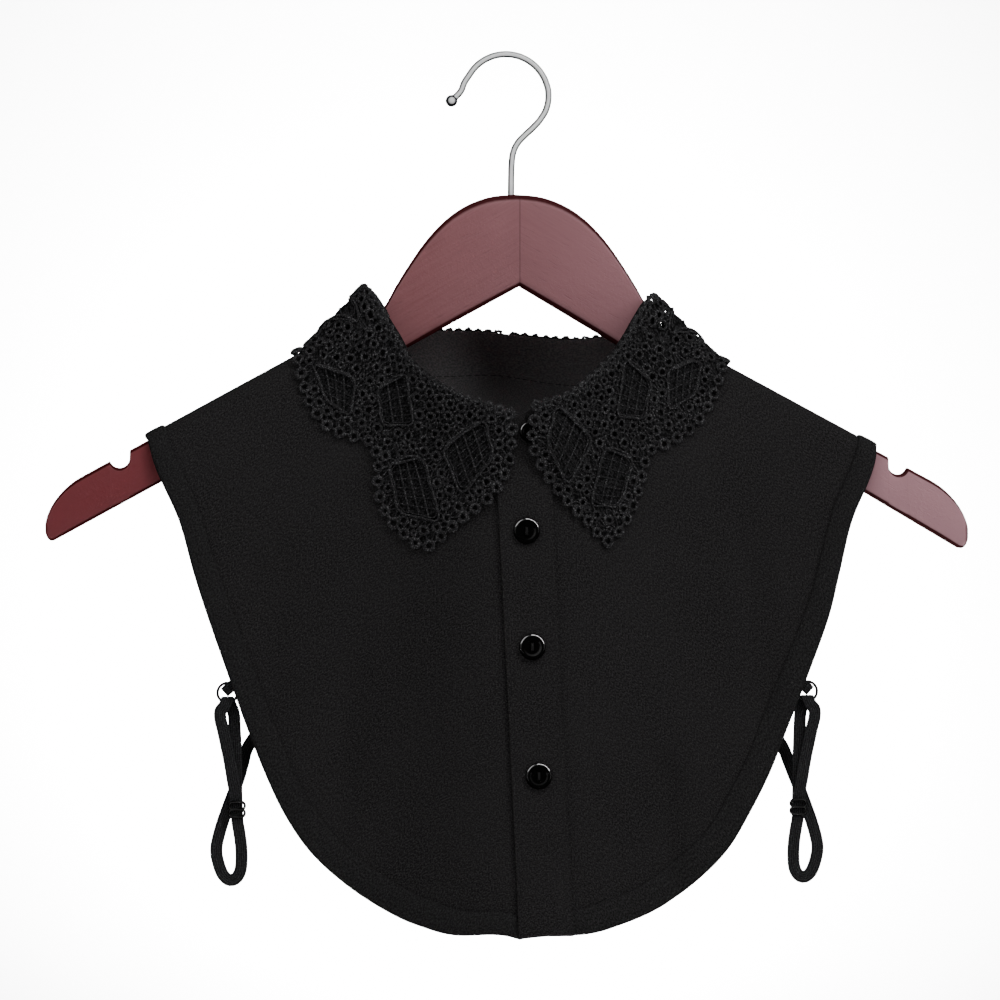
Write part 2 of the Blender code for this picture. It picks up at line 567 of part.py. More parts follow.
def panel_parts(face, narrower=1.0, shorter=1.0):
    """Outline of the front or back and its inner binding line, on the flat cloth."""
    left = side_line(-1, narrower, shorter, face)
    right = side_line(1, narrower, shorter, face)
    hem = left + right[-2::-1]
    ridge_left = [Vector((x, face * SEAM_GAP / 2)) for x in
                  (-0.167, -0.158, -0.142, -0.126, -0.110, -0.095, -0.083)]
    ridge_right = [Vector((-p[0], p[1])) for p in reversed(ridge_left)]
    neck = neck_line(face)
    outline = hem + ridge_right + neck[::-1] + ridge_left[::-1]
    width = lambda t: -face * (BINDING_ARMHOLE + (BINDING_HEM - BINDING_ARMHOLE) * smooth(2 - abs(4 * t - 2)))
    inner = offset_line(hem, width)
    inner[0][1] = inner[-1][1] = face * -0.002
    return outline, hem, inner


def make_front():
    """Both fronts, the placket band over them and their edge bindings, from one set of facets."""
    outline, hem, inner = panel_parts(1)
    levels = [0.090 + 0.0165 * k for k in range(16)]
    shifts = (-PLACKET_HALF - PLACKET_CORNER_GAP, -PLACKET_HALF, -PLACKET_HALF + UNDERLAP,
              -PLACKET_HALF + UNDERLAP + SEAM_GAP, PLACKET_HALF, PLACKET_HALF + PLACKET_CORNER_GAP)
    lines = [[Vector((placket_x(w) + shift, w)) for w in levels] for shift in shifts]
    points, faces = flat_mesh(outline, [], [inner] + lines, PANEL_STEP)
    band = hem + inner[::-1]
    middle = {face: sum((points[i] for i in face), Vector((0, 0))) / 3 for face in faces}
    across = {face: middle[face][0] - placket_x(middle[face][1]) for face in faces}
    bound = {face for face in faces if inside(middle[face], band)}
    lift = SEAM_GAP + BINDING_THICKNESS
    split = -PLACKET_HALF + UNDERLAP
    sides = (("right", lambda a: a < split, lambda a: a < -PLACKET_HALF - PLACKET_CORNER_GAP),
             ("left", lambda a: a > split + SEAM_GAP, lambda a: a > PLACKET_HALF + PLACKET_CORNER_GAP))
    for wearer_side, in_panel, in_binding in sides:
        wall(f"front_{wearer_side}_panel", points, [f for f in faces if in_panel(across[f])],
             lambda x, w: cloth(x, w), lambda x, w: cloth(x, w, -CLOTH), "black_cloth")
        wall(f"binding_front_{wearer_side}", points,
             [f for f in faces if f in bound and in_binding(across[f])],
             lambda x, w: cloth(x, w, lift), lambda x, w: cloth(x, w, SEAM_GAP), "black_binding")
    wall("placket_band", points,
         [f for f in faces if abs(across[f]) < PLACKET_HALF and middle[f][1] > 0.090],
         lambda x, w: cloth(x, w, SEAM_GAP + CLOTH), lambda x, w: cloth(x, w, SEAM_GAP), "black_cloth")


def make_back():
    outline, hem, inner = panel_parts(-1, BACK_NARROWER, BACK_SHORTER)
    points, faces = flat_mesh(outline, [], [inner], PANEL_STEP)
    band = hem + inner[::-1]
    bound = [f for f in faces if inside(sum((points[i] for i in f), Vector((0, 0))) / 3, band)]
    wall("back_panel", points, faces, lambda x, w: cloth(x, w), lambda x, w: cloth(x, w, -CLOTH), "black_cloth")
    wall("binding_back", points, bound, lambda x, w: cloth(x, w, SEAM_GAP + BINDING_THICKNESS),
         lambda x, w: cloth(x, w, SEAM_GAP), "black_binding")


def collar_rows():
    """Fold x, fold w, base x, base w and fold height, from the middle front by the right and back."""
    right = [(row[4], row[5], row[6], row[7], row[8]) for row in COLLAR_ROWS[1:-1]]
    left = [(-row[0], row[1], -row[2], row[3], row[8]) for row in COLLAR_ROWS]
    return [left[0]] + right + [left[-1]] + left[-2:0:-1]


def collar_at(share):
    """The same five values anywhere round the neck, by a smooth closed curve; 0 is the middle front."""
    rows = collar_rows()
    count = len(rows)
    place = (share % 1.0) * count
    i = int(place) % count
    t = place - int(place)
    values = []
    for column in range(5):
        p = [rows[(i + k - 1) % count][column] for k in range(4)]
        values.append(0.5 * (2 * p[1] + (p[2] - p[0]) * t + (2 * p[0] - 5 * p[1] + 4 * p[2] - p[3]) * t ** 2
                             + (3 * p[1] - p[0] - 3 * p[2] + p[3]) * t ** 3))
    return values


def stand_base(share, rise):
    """Point of the stand's outer face: rise 0 at its seam, 1 at its top."""
    fold_x, fold_w, base_x, base_w, height = collar_at(share)
    low = cloth(base_x, base_w, STAND_OVER_RIDGE * smooth(2 - abs(base_w) / QUARTER))
    top = cloth(fold_x, fold_w, height - STAND_BELOW_FOLD)
    inward = Vector((-fold_x, -0.008 - top.y, 0)).normalized()
    return low.lerp(top + inward * STAND_INSIDE_FOLD, rise)


def stand(share, rise, height):
    step = 0.002
    around = stand_base(share + step, rise) - stand_base(share - step, rise)
    up = stand_base(share, 1.0) - stand_base(share, 0.0)
    return stand_base(share, rise) + around.cross(up).normalized() * height


def stand_lift(share):
    """The stand's left end rides up to lap over its right end."""
    return STAND_LAP_LIFT * smooth((share - 0.955) / 0.035)


def make_collar_stand():
    lap = STAND_LAP / 0.36
    points = [(-0.4 * lap + (1 + 0.9 * lap) * k / STAND_STEPS, rise / 2)
              for k in range(STAND_STEPS + 1) for rise in range(3)]
    faces = []
    for k in range(STAND_STEPS):
        for r in range(2):
            a = 3 * k + r
            faces += [(a, a + 3, a + 4), (a, a + 4, a + 1)]
    wall("collar_stand", points, faces, lambda s, r: stand(s, r, stand_lift(s)),
         lambda s, r: stand(s, r, stand_lift(s) - CLOTH), "black_cloth")


def fold_near(x, w, fold):
    """Distance to the fold line, and the fold's height where it is nearest."""
    best = min(fold, key=lambda row: (row[0] - x) ** 2 + (row[1] - w) ** 2)
    return math.hypot(best[0] - x, best[1] - w), best[2]


def lace_height(x, w, fold):
    """How far the lace leaf stands off the cloth at a place."""
    away, height = fold_near(x, w, fold)
    rest = LACE_REST + LACE_OVER_RIDGE * smooth(2 - abs(w) / QUARTER)
    if w > 0:
        rest += LACE_OVER_PLACKET * smooth(1.6 - abs(x - placket_x(w)) / 0.022)
    button_x, button_w, reach, lift = LACE_OVER_BUTTON
    if x > 0:
        rest += lift * math.exp(-((x - button_x) ** 2 + (w - button_w) ** 2) / reach ** 2)
    return rest + max(0.0, height - rest) * max(0.0, 1 - away / FOLD_FADE) ** 2


def picot_edge(line):
    """A line given small round scallops to its left, one for each ring of the lace edge."""
    spots = curve_through(line, PICOT_PITCH)
    edge = []
    for a, b in zip(spots, spots[1:]):
        along = b - a
        out = Vector((-along[1], along[0])).normalized()
        edge.append(a)
        edge.append(a + along * 0.22 + out * PICOT_DEPTH * 0.75)
        edge.append(a + along * 0.50 + out * PICOT_DEPTH)
        edge.append(a + along * 0.78 + out * PICOT_DEPTH * 0.75)
    return edge + [spots[-1]]


def lattice_windows(shields, side):
    """Openings between the bars of each lattice shield."""
    windows = []
    for *corners, across, down in shields:
        p = [Vector((side * x, w)) for x, w in corners]
        spot = lambda u, v: p[0].lerp(p[1], u).lerp(p[3].lerp(p[2], u), v)
        for i in range(across):
            for k in range(down):
                cell = [spot(i / across, k / down), spot((i + 1) / across, k / down),
                        spot((i + 1) / across, (k + 1) / down), spot(i / across, (k + 1) / down)]
                middle = sum(cell, Vector((0, 0))) / 4
                windows.append([middle.lerp(corner, LATTICE_OPEN) for corner in cell])
    return windows


def make_lace(side):
    """One half of the collar's fall, from the front opening round to the middle of the back."""
    edge_rows = LACE_EDGE_LEFT if side < 0 else LACE_EDGE_RIGHT
    shields = (SHIELDS_LEFT if side < 0 else SHIELDS_RIGHT) + SHIELDS_BACK
    edge = picot_edge([(x, w) for x, w in edge_rows])
    edge = [Vector((side * p[0], p[1])) for p in edge]
    start = min((k / 1000 for k in range(60)), key=lambda s: abs(abs(collar_at(side * s)[0]) - edge_rows[0][0]))
    span = [start + (0.494 - start) * k / 22 for k in range(23)]
    values = [collar_at(side * s) for s in span]
    fold = [(v[0], v[1], v[4]) for v in values]
    outline = edge + [Vector((x, w)) for x, w, _ in reversed(fold)]
    points, faces = flat_mesh(outline, lattice_windows(shields, side), [], 0.009)
    dense = [collar_at((s + shift) * side) for s in span for shift in (0.0, 0.0109)]
    dense = [(v[0], v[1], v[4]) for v in dense]
    half = LACE_THICKNESS / 2
    wall("lace_left_half" if side > 0 else "lace_right_half", points, faces,
         lambda x, w: cloth(x, w, lace_height(x, w, dense) + half),
         lambda x, w: cloth(x, w, lace_height(x, w, dense) - half), "black_lace")


def make_button(name, place, outward, radius):
    """A turned button with a raised rim, sewn flat on the cloth."""
    turn = outward.to_track_quat("Z", "Y")
    mesh = bmesh.new()
    rings = []
    sides = 14
    for share, height in BUTTON_PROFILE:
        ring = []
        for k in range(sides):
            angle = 2 * math.pi * k / sides
            spot = Vector((radius * share * math.cos(angle), radius * share * math.sin(angle),
                           height * radius / BUTTON_RADIUS + SEAM_GAP))
            ring.append(mesh.verts.new(place + turn @ spot))
        rings.append(ring)
    for this, following in zip(rings, rings[1:]):
        for k in range(sides):
            mesh.faces.new((this[k], this[(k + 1) % sides], following[(k + 1) % sides], following[k]))
    mesh.faces.new(rings[0][::-1])
    mesh.faces.new(rings[-1])
    new_object(name, mesh, "black_button")


def make_buttons():
    for number, z in enumerate(BUTTON_HEIGHTS, 1):
        x = PLACKET_TOP[0] + PLACKET_LEAN * (PLACKET_TOP[1] - z)
        w = w_at(x, z)
        on_band = cloth(x, w, SEAM_GAP + CLOTH + 0.0002)
        make_button(f"button_{number}", on_band, on_band - cloth(x, w, 0.0), BUTTON_RADIUS)
    x, w, radius = COLLAR_BUTTON
    share = min((k / 2000 for k in range(80)), key=lambda s: abs(collar_at(s)[0] - x))
    place = stand(share, 0.50, STAND_LAP_LIFT + 0.0002)
    make_button("button_collar", place, place - stand(share, 0.50, 0.0), radius)


def strap_point(side, inward, down, back):
    """Point of a side strap from its offsets to the ring's centre."""
    x = STRAP_MIDDLE_X + side * (RING_CENTRE[0] - inward)
    ring_x = STRAP_MIDDLE_X + side * RING_CENTRE[0]
    plane = cloth(ring_x - side * 0.004, w_at(ring_x, RING_CENTRE[1])).y + RING_BEHIND_PANEL
    return Vector((x, plane + back, RING_CENTRE[1] - down))


def make_strap(side, wearer_side):
    """The elastic: slider, up to the ring, down through the slider, the loop, and to the back."""
    rows = [(*strap_point(side, *row[:3]), row[3]) for row in STRAP_ROWS]
    end_x = STRAP_MIDDLE_X + side * (RING_CENTRE[0] - STRAP_END[0])
    end_z = RING_CENTRE[1] - STRAP_END[1]
    for k in (0.0, 0.45, 1.0):
        x, z = end_x - side * k * 0.0030, end_z + k * 0.0070
        spot = cloth(x, w_at(x, z, -1), -CLOTH - SEAM_GAP * 2.5 - STRAP_THICKNESS / 2)
        rows.append((*spot, 0.0))
    route = []
    for i in range(len(rows) - 1):
        route.append(rows[i])
        length = (Vector(rows[i + 1][:3]) - Vector(rows[i][:3])).length
        if length > 0.008:
            route.append(tuple((a + b) / 2 for a, b in zip(rows[i], rows[i + 1])))
    route.append(rows[-1])
    frames = []
    for i, row in enumerate(route):
        along = (Vector(route[min(i + 1, len(route) - 1)][:3]) - Vector(route[max(i - 1, 0)][:3])).normalized()
        angle = row[3] * math.pi / 2
        facing = Vector((0, -math.cos(angle), math.sin(angle)))
        width = facing.cross(along).normalized()
        frames.append((Vector(row[:3]), width, along.cross(width), 1.0))
    a, b = STRAP_WIDTH / 2, STRAP_THICKNESS / 2
    sweep(f"strap_{wearer_side}", frames, [(a, b), (-a, b), (-a, -b), (a, -b)], "black_elastic")


def make_ring(side, wearer_side):
    centre = strap_point(side, 0, 0, 0)
    frames = []
    for k in range(20):
        angle = 2 * math.pi * k / 20
        out = Vector((math.cos(angle), 0, math.sin(angle)))
        frames.append((centre + out * RING_RADIUS, out, Vector((0, 1, 0)), 1.0))
    sweep(f"ring_{wearer_side}", frames, circle_profile(RING_WIRE, 6), "black_metal", closed=True)


def make_ring_tape(side, wearer_side):
    """A short tape folded through the ring, its two ends sewn behind the front's edge."""
    width, thickness, length, sewn = RING_TAPE
    gap = RING_WIRE + SEAM_GAP + thickness / 2
    line = [(length + sewn, -gap - 0.0010), (length, -gap), (length / 2, -gap), (0.0, -gap),
            (-gap * 0.8, -gap * 0.55), (-gap, 0.0), (-gap * 0.8, gap * 0.55), (0.0, gap),
            (length / 2, gap), (length, gap), (length + sewn, gap - 0.0012)]
    lean = Vector((-side * 0.75, 0, 0.66)).normalized()
    fold = strap_point(side, *RING_TAPE_FOLD)
    spots = [fold + lean * a + Vector((0, b, 0)) for a, b in line]
    wide = Vector((0, 1, 0)).cross(lean).normalized()
    frames = []
    for i, spot in enumerate(spots):
        along = (spots[min(i + 1, len(spots) - 1)] - spots[max(i - 1, 0)]).normalized()
        frames.append((spot, wide, along.cross(wide), 1.0))
    a, b = width / 2, thickness / 2
    sweep(f"ring_tape_{wearer_side}", frames, [(a, b), (-a, b), (-a, -b), (a, -b)], "black_elastic")


def make_slider(side, wearer_side):
    """A flat slider: three bars, and side rails that round each window's ends."""
    half_width, half_height, thickness = SLIDER_SIZE
    lobe, bar = half_height / 2, SLIDER_BAR
    rail = []
    for level, turns in ((1, (90, 45, 5, -35, -62)), (-1, (62, 35, -5, -45, -90))):
        for turn in turns:
            angle = math.radians(turn)
            rail.append(Vector((half_width - lobe + lobe * math.cos(angle), level * lobe + lobe * math.sin(angle))))
    outline = rail + [Vector((-point.x, point.y)) for point in reversed(rail)]
    round_end = (half_height - bar * 1.5) / 2
    middle = (bar + half_height - bar / 2) / 2 - bar / 4
    holes = []
    for level in (-1, 1):
        end = []
        for turn in (80, 40, 0, -40, -80):
            angle = math.radians(turn)
            end.append(Vector((half_width - bar - round_end * (1 - math.cos(angle)),
                               level * middle + round_end * math.sin(angle))))
        holes.append(end + [Vector((-point.x, point.y)) for point in reversed(end)])
    points, faces = flat_mesh(outline, holes, [], 0.020)
    centre = strap_point(side, *SLIDER_CENTRE)
    wall(f"slider_{wearer_side}", points, faces,
         lambda x, z: centre + Vector((x, -thickness / 2, z)),
         lambda x, z: centre + Vector((x, thickness / 2, z)), "black_metal")


def main():
    clear_scene()
    make_materials()
    middle = bpy.data.objects.new("hanger_middle", None)
    bpy.context.collection.objects.link(middle)
    middle.location = (HANGER_CENTRE_X, 0, 0)
    make_hanger_wood()
    make_hanger_hook()
    make_front()
    make_back()
    make_collar_stand()
    for side in (-1, 1):
        make_lace(side)
    make_buttons()
    for side, wearer_side in ((-1, "right"), (1, "left")):
        make_strap(side, wearer_side)
        make_ring(side, wearer_side)
        make_ring_tape(side, wearer_side)
        make_slider(side, wearer_side)


main()
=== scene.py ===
"""Black lace collar with cloth front and back, on a wooden hanger: the dressed model and its studio.

Metres, +Z up, the buttoned front facing -Y. The cloth is worked out flat, as (x, w): x runs
across, and w is the length of cloth from the shoulder ridge, positive down the front.
"""
import math

import bmesh
import bpy
import numpy as np
from mathutils import Matrix, Vector
from mathutils.geometry import delaunay_2d_cdt


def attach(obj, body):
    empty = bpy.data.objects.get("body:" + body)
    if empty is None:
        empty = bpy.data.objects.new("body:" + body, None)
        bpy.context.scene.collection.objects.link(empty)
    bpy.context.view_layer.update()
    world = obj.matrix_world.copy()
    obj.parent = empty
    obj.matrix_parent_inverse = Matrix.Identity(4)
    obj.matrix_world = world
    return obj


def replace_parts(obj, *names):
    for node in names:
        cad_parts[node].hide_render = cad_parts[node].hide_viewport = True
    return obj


bl_info = {
    "name": "Lace collar on a hanger",
    "version": (1, 0, 0),
    "blender": (4, 5, 0),
    "location": "3D View > Sidebar > Collar",
    "description": "Builds a black lace collar, its cloth front and back and its hanger",
    "category": "Add Mesh",
}

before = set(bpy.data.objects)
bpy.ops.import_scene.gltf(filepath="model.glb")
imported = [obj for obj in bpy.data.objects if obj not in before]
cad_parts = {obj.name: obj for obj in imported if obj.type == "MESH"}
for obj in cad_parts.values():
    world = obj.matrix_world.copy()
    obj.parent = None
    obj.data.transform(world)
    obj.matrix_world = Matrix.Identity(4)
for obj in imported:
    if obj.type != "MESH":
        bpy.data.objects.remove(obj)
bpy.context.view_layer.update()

# Surface of the hanging cloth
MIDDLE_X = 0.0024             # the garment's middle, right of the hook's bearing point
RIDGE_TOP, RIDGE_SLOPE, RIDGE_CENTRE, RIDGE_BLEND = -0.0874, 0.556, -0.0045, 0.020
RIDGE_RADIUS = 0.0090
QUARTER = RIDGE_RADIUS * math.pi / 2
SWEEP = (0.10, 0.15)          # how far the arms come forward: share of x, share of x squared
FLARE_RUN = 0.025
FRONT_FLARE = (0.044, 0.058, 2.4, 0.15)       # depth, half width, power, share lost by the hem
BACK_FLARE = (0.036, 0.062, 2.0, 0.55)
HEM_DROP = 0.320
SOFT_FOLDS = (                # side, x, lean, w start, w end, half width, depth
    (1, 0.0700, 0.05, 0.200, 0.285, 0.0075, 0.0030), (1, -0.0780, -0.06, 0.150, 0.265, 0.0090, 0.0022),
    (1, 0.1080, 0.10, 0.060, 0.190, 0.0100, 0.0018), (1, -0.1120, -0.09, 0.070, 0.200, 0.0100, 0.0020),
    (-1, 0.0620, 0.04, 0.100, 0.280, 0.0100, 0.0030), (-1, -0.0500, -0.03, 0.110, 0.290, 0.0110, 0.0026),
    (-1, 0.1150, 0.08, 0.060, 0.200, 0.0100, 0.0020))
SIDE_ROWS = (                 # height, half width on the left, half width on the right
    (-0.1842, 0.1756, 0.1742), (-0.1945, 0.1716, 0.1722), (-0.2050, 0.1674, 0.1686),
    (-0.2235, 0.1592, 0.1608), (-0.2480, 0.1524, 0.1549), (-0.2700, 0.1453, 0.1495),
    (-0.2985, 0.1353, 0.1392), (-0.3225, 0.1266, 0.1298), (-0.3430, 0.1186, 0.1218),
    (-0.3625, 0.1093, 0.1121), (-0.3800, 0.0973, 0.1014), (-0.3950, 0.0811, 0.0862),
    (-0.4070, 0.0630, 0.0688), (-0.4145, 0.0464, 0.0503), (-0.4188, 0.0270, 0.0305),
    (-0.4204, 0.0, 0.0))
BACK_NARROWER, BACK_SHORTER = 0.97, 0.985
CLOTH = 0.0012
SEAM_GAP = 0.0003
NECK_SEAM = 0.0007            # the panels' seam allowance inside the collar stand
BINDING_ARMHOLE, BINDING_HEM = 0.0085, 0.0105
PLACKET_HALF, PLACKET_LEAN, PLACKET_TOP = 0.0130, 0.049, (0.0012, -0.1760)
UNDERLAP = 0.0030
BUTTON_HEIGHTS = (-0.2284, -0.2831, -0.3440)
BUTTON_LEANS = ((0.02, 0.0, -0.02), (-0.01, 0.0, 0.05), (-0.03, 0.0, 0.0))
COLLAR_BUTTON = (0.0045, 0.0900, 0.0050)
COLLAR_ROWS = (               # left: fold x, fold w, base x, base w; right: the same; fold height
    (0.0, 0.0800, 0.0, 0.0985, 0.0, 0.0770, 0.0, 0.0985, 0.0056),
    (0.0123, 0.0747, 0.0150, 0.0945, 0.0110, 0.0712, 0.0150, 0.0920, 0.0054),
    (0.0253, 0.0663, 0.0310, 0.0835, 0.0235, 0.0615, 0.0300, 0.0790, 0.0054),
    (0.0381, 0.0529, 0.0475, 0.0650, 0.0350, 0.0470, 0.0455, 0.0600, 0.0060),
    (0.0482, 0.0397, 0.0590, 0.0460, 0.0445, 0.0340, 0.0570, 0.0400, 0.0072),
    (0.0540, 0.0270, 0.0660, 0.0280, 0.0530, 0.0200, 0.0650, 0.0210, 0.0090),
    (0.0620, 0.0110, 0.0710, 0.0100, 0.0600, 0.0060, 0.0710, 0.0050, 0.0125),
    (0.0650, -0.0030, 0.0725, -0.0080, 0.0640, -0.0060, 0.0725, -0.0110, 0.0150),
    (0.0590, -0.0150, 0.0670, -0.0260, 0.0580, -0.0160, 0.0670, -0.0260, 0.0120),
    (0.0450, -0.0250, 0.0500, -0.0430, 0.0450, -0.0250, 0.0500, -0.0430, 0.0090),
    (0.0240, -0.0350, 0.0270, -0.0560, 0.0240, -0.0350, 0.0270, -0.0560, 0.0070),
    (0.0, -0.0400, 0.0, -0.0610, 0.0, -0.0400, 0.0, -0.0610, 0.0065))
STAND_OVER_RIDGE = 0.0012
STAND_BELOW_FOLD, STAND_INSIDE_FOLD = 0.0024, 0.0016
STAND_LAP, STAND_LAP_LIFT = 0.0090, 0.0016
LACE_REST, LACE_OVER_RIDGE, LACE_OVER_PLACKET = 0.0012, 0.0010, 0.0014
LACE_OVER_BUTTON = (0.0100, 0.0860, 0.0140, 0.0050)
FOLD_FADE = 0.035
LACE_EDGE = {                 # distance from the middle, w, from the front opening round to the back
    -1: ((0.0050, 0.0800), (0.0040, 0.0900), (0.0050, 0.1000), (0.0085, 0.1100), (0.0160, 0.1185),
         (0.0265, 0.1225), (0.0365, 0.1275), (0.0430, 0.1285), (0.0500, 0.1215), (0.0600, 0.1060),
         (0.0645, 0.0915), (0.0650, 0.0770), (0.0680, 0.0665), (0.0800, 0.0560), (0.0885, 0.0480),
         (0.0970, 0.0320), (0.1015, 0.0150), (0.1025, 0.0020), (0.1010, -0.0130), (0.0960, -0.0290),
         (0.0870, -0.0430), (0.0770, -0.0520), (0.0680, -0.0580), (0.0640, -0.0680), (0.0570, -0.0800),
         (0.0450, -0.0900), (0.0330, -0.0945), (0.0200, -0.0925), (0.0080, -0.0860), (0.0010, -0.0810)),
    1: ((0.0085, 0.0745), (0.0072, 0.0840), (0.0066, 0.0920), (0.0095, 0.0990), (0.0150, 0.1060),
        (0.0230, 0.1125), (0.0340, 0.1175), (0.0405, 0.1225), (0.0465, 0.1165), (0.0530, 0.1030),
        (0.0575, 0.0890), (0.0600, 0.0770), (0.0640, 0.0670), (0.0740, 0.0575), (0.0850, 0.0440),
        (0.0930, 0.0290), (0.0985, 0.0120), (0.1010, -0.0010), (0.1000, -0.0140), (0.0955, -0.0290),
        (0.0870, -0.0430), (0.0770, -0.0520), (0.0680, -0.0580), (0.0640, -0.0680), (0.0570, -0.0800),
        (0.0450, -0.0900), (0.0330, -0.0945), (0.0200, -0.0925), (0.0080, -0.0860), (0.0010, -0.0810))}
SHIELDS = {                   # four corners as distance from the middle and w; bars across, bars down
    -1: (((0.0170, 0.0815), (0.0335, 0.0865), (0.0262, 0.1110), (0.0125, 0.0990), 4, 6),
         ((0.0450, 0.0860), (0.0590, 0.0820), (0.0550, 0.1060), (0.0370, 0.1190), 4, 6),
         ((0.0515, 0.0450), (0.0640, 0.0440), (0.0625, 0.0610), (0.0485, 0.0680), 3, 5),
         ((0.0770, 0.0320), (0.0940, 0.0170), (0.0900, 0.0345), (0.0785, 0.0480), 4, 4)),
    1: (((0.0180, 0.0715), (0.0330, 0.0780), (0.0225, 0.1040), (0.0125, 0.0900), 4, 6),
        ((0.0415, 0.0790), (0.0540, 0.0770), (0.0480, 0.1020), (0.0345, 0.1080), 3, 6),
        ((0.0510, 0.0345), (0.0630, 0.0360), (0.0600, 0.0545), (0.0470, 0.0600), 3, 5),
        ((0.0735, 0.0260), (0.0885, 0.0125), (0.0860, 0.0290), (0.0735, 0.0430), 4, 4)),
    0: (((0.0740, 0.0100), (0.0900, -0.0020), (0.0870, -0.0200), (0.0720, -0.0100), 3, 3),
        ((0.0700, -0.0190), (0.0860, -0.0260), (0.0790, -0.0430), (0.0660, -0.0440), 2, 4),
        ((0.0350, -0.0420), (0.0540, -0.0370), (0.0560, -0.0680), (0.0400, -0.0840), 3, 6),
        ((0.0060, -0.0500), (0.0240, -0.0480), (0.0290, -0.0830), (0.0100, -0.0780), 3, 5))}

# Side straps, as offsets from the ring's centre: toward the garment, down, and back
RING_CENTRE = (0.1385, -0.3048)
STRAP_MIDDLE_X = 0.0018
RING_RADIUS = 0.0047
RING_WIRE = 0.00070
RING_BEHIND_PANEL = 0.0045
STRAP_ROWS = (                # inward, down, back, facing (0 front, 1 upward, 2 rearward)
    (0.0043, 0.0540, 0.0009, 2.0), (0.0041, 0.0420, 0.0010, 2.0), (0.0039, 0.0300, 0.0011, 2.0),
    (0.0035, 0.0180, 0.0013, 2.0), (0.0030, 0.0100, 0.0014, 2.0), (0.0014, 0.0058, 0.0015, 2.0),
    (0.0001, 0.0028, 0.0012, 1.6), (0.0, 0.0021, 0.0, 1.0), (-0.0001, 0.0028, -0.0012, 0.4),
    (-0.0014, 0.0060, -0.0016, 0.0), (-0.0034, 0.0088, -0.0015, 0.0), (-0.0033, 0.0128, -0.0014, 0.0),
    (-0.0020, 0.0181, -0.0013, 0.0), (0.0008, 0.0313, -0.0010, 0.0), (0.0026, 0.0418, -0.0008, 0.0),
    (0.0040, 0.0500, -0.0006, 0.0), (0.0046, 0.0600, -0.0006, 0.0), (0.0055, 0.0656, -0.0006, 0.0),
    (0.0064, 0.0718, -0.0005, 0.0), (0.0067, 0.0785, -0.0002, 0.0), (0.0061, 0.0844, 0.0002, 0.0),
    (0.0040, 0.0881, 0.0006, 0.0), (0.0009, 0.0889, 0.0010, 0.0), (-0.0022, 0.0862, 0.0014, 0.0),
    (-0.0043, 0.0808, 0.0018, 0.0), (-0.0053, 0.0752, 0.0022, 0.0), (-0.0045, 0.0695, 0.0026, 0.0),
    (-0.0023, 0.0618, 0.0029, 0.0), (0.0004, 0.0542, 0.0031, 0.0), (0.0029, 0.0476, 0.0034, 0.0),
    (0.0054, 0.0409, 0.0060, 0.0), (0.0075, 0.0342, 0.0110, 0.0), (0.0100, 0.0266, 0.0178, 0.0))
STRAP_END = (0.0169, 0.0163)
SLIDER_CENTRE = (0.0045, 0.0552, -0.0019)
RING_TAPE_FOLD = (-0.0003, -0.0012, 0.0)


# Hanger and hook
ARM_LENGTH = {-1: 0.2226, 1: 0.2167}
ARM_UNDER_SLOPE = {-1: 0.549, 1: 0.603}
UNDER_PEAK = (0.0039, -0.1104)
ARM_BELOW_RIDGE = 0.0025
ARM_HALF_THICKNESS = 0.0054
TIP_TOP_ROUND, TIP_UNDER_ROUND = (0.0168, 0.0142), (0.0045, 0.0080)
NOTCH, NOTCH_RADIUS, NOTCH_BELOW_EDGE = {-1: 0.1877, 1: 0.1841}, 0.0047, 0.0010
CROWN_CENTRE = 0.0019
CROWN_ROWS = (                # distance from the crown's centre, height
    (0.0, -0.0662), (0.0100, -0.0670), (0.0180, -0.0692), (0.0265, -0.0733), (0.0350, -0.0798),
    (0.0438, -0.0895), (0.0530, -0.1029), (0.0606, -0.1158), (0.0655, -0.1262), (0.0690, -0.1342))
WIRE_RADIUS, BOW_RADIUS, BOW_CENTRE_Z = 0.0016, 0.0206, -0.0190
HOOK_STEM = (                 # x, z up the stem to the bow
    (0.0024, -0.0820), (0.0024, -0.0735), (0.0024, -0.0650), (0.0025, -0.0570), (0.0027, -0.0512),
    (0.0035, -0.0457), (0.0055, -0.0414), (0.0092, -0.0373), (0.0137, -0.0331), (0.0173, -0.0287), (0.0197, -0.0240))
HOOK_TIP = ((-0.0201, -0.0122), (-0.0218, -0.0163), (-0.0241, -0.0189), (-0.0258, -0.0205))
HOOK_BALL = (-0.0263, -0.0210, 0.0029)


def smooth(value):
    value = np.clip(value, 0.0, 1.0)
    return value * value * (3 - 2 * value)


def sweep_y(x):
    return -(SWEEP[0] * np.abs(x) + SWEEP[1] * x * x)


def ridge_z(x):
    return RIDGE_TOP - RIDGE_SLOPE * np.hypot(x - RIDGE_CENTRE, RIDGE_BLEND)


def flare(shape, x, fall):
    depth, half_width, power, lost = shape
    across = depth / (1 + (np.abs(x) / half_width) ** power)
    return across * (1 - np.exp(-fall / FLARE_RUN)) * (1 - lost * fall / HEM_DROP)


def soft_fold(x, w):
    """Depth of the long soft folds and of the faint ripples between them."""
    total = np.zeros_like(x)
    for side, middle, lean, start, end, half_width, depth in SOFT_FOLDS:
        run = (w * side - start) / (end - start)
        away = (x - middle - lean * (w * side - start)) / half_width
        inside_run = smooth(np.minimum(run, 1 - run) * 4)
        total += depth * np.exp(-away * away) * inside_run
    calm = smooth((np.abs(w) - 0.05) / 0.08)
    total += calm * 0.00030 * np.sin(x * 92 + w * 31) * np.sin(w * 58 - x * 24 + 1.3)
    return total


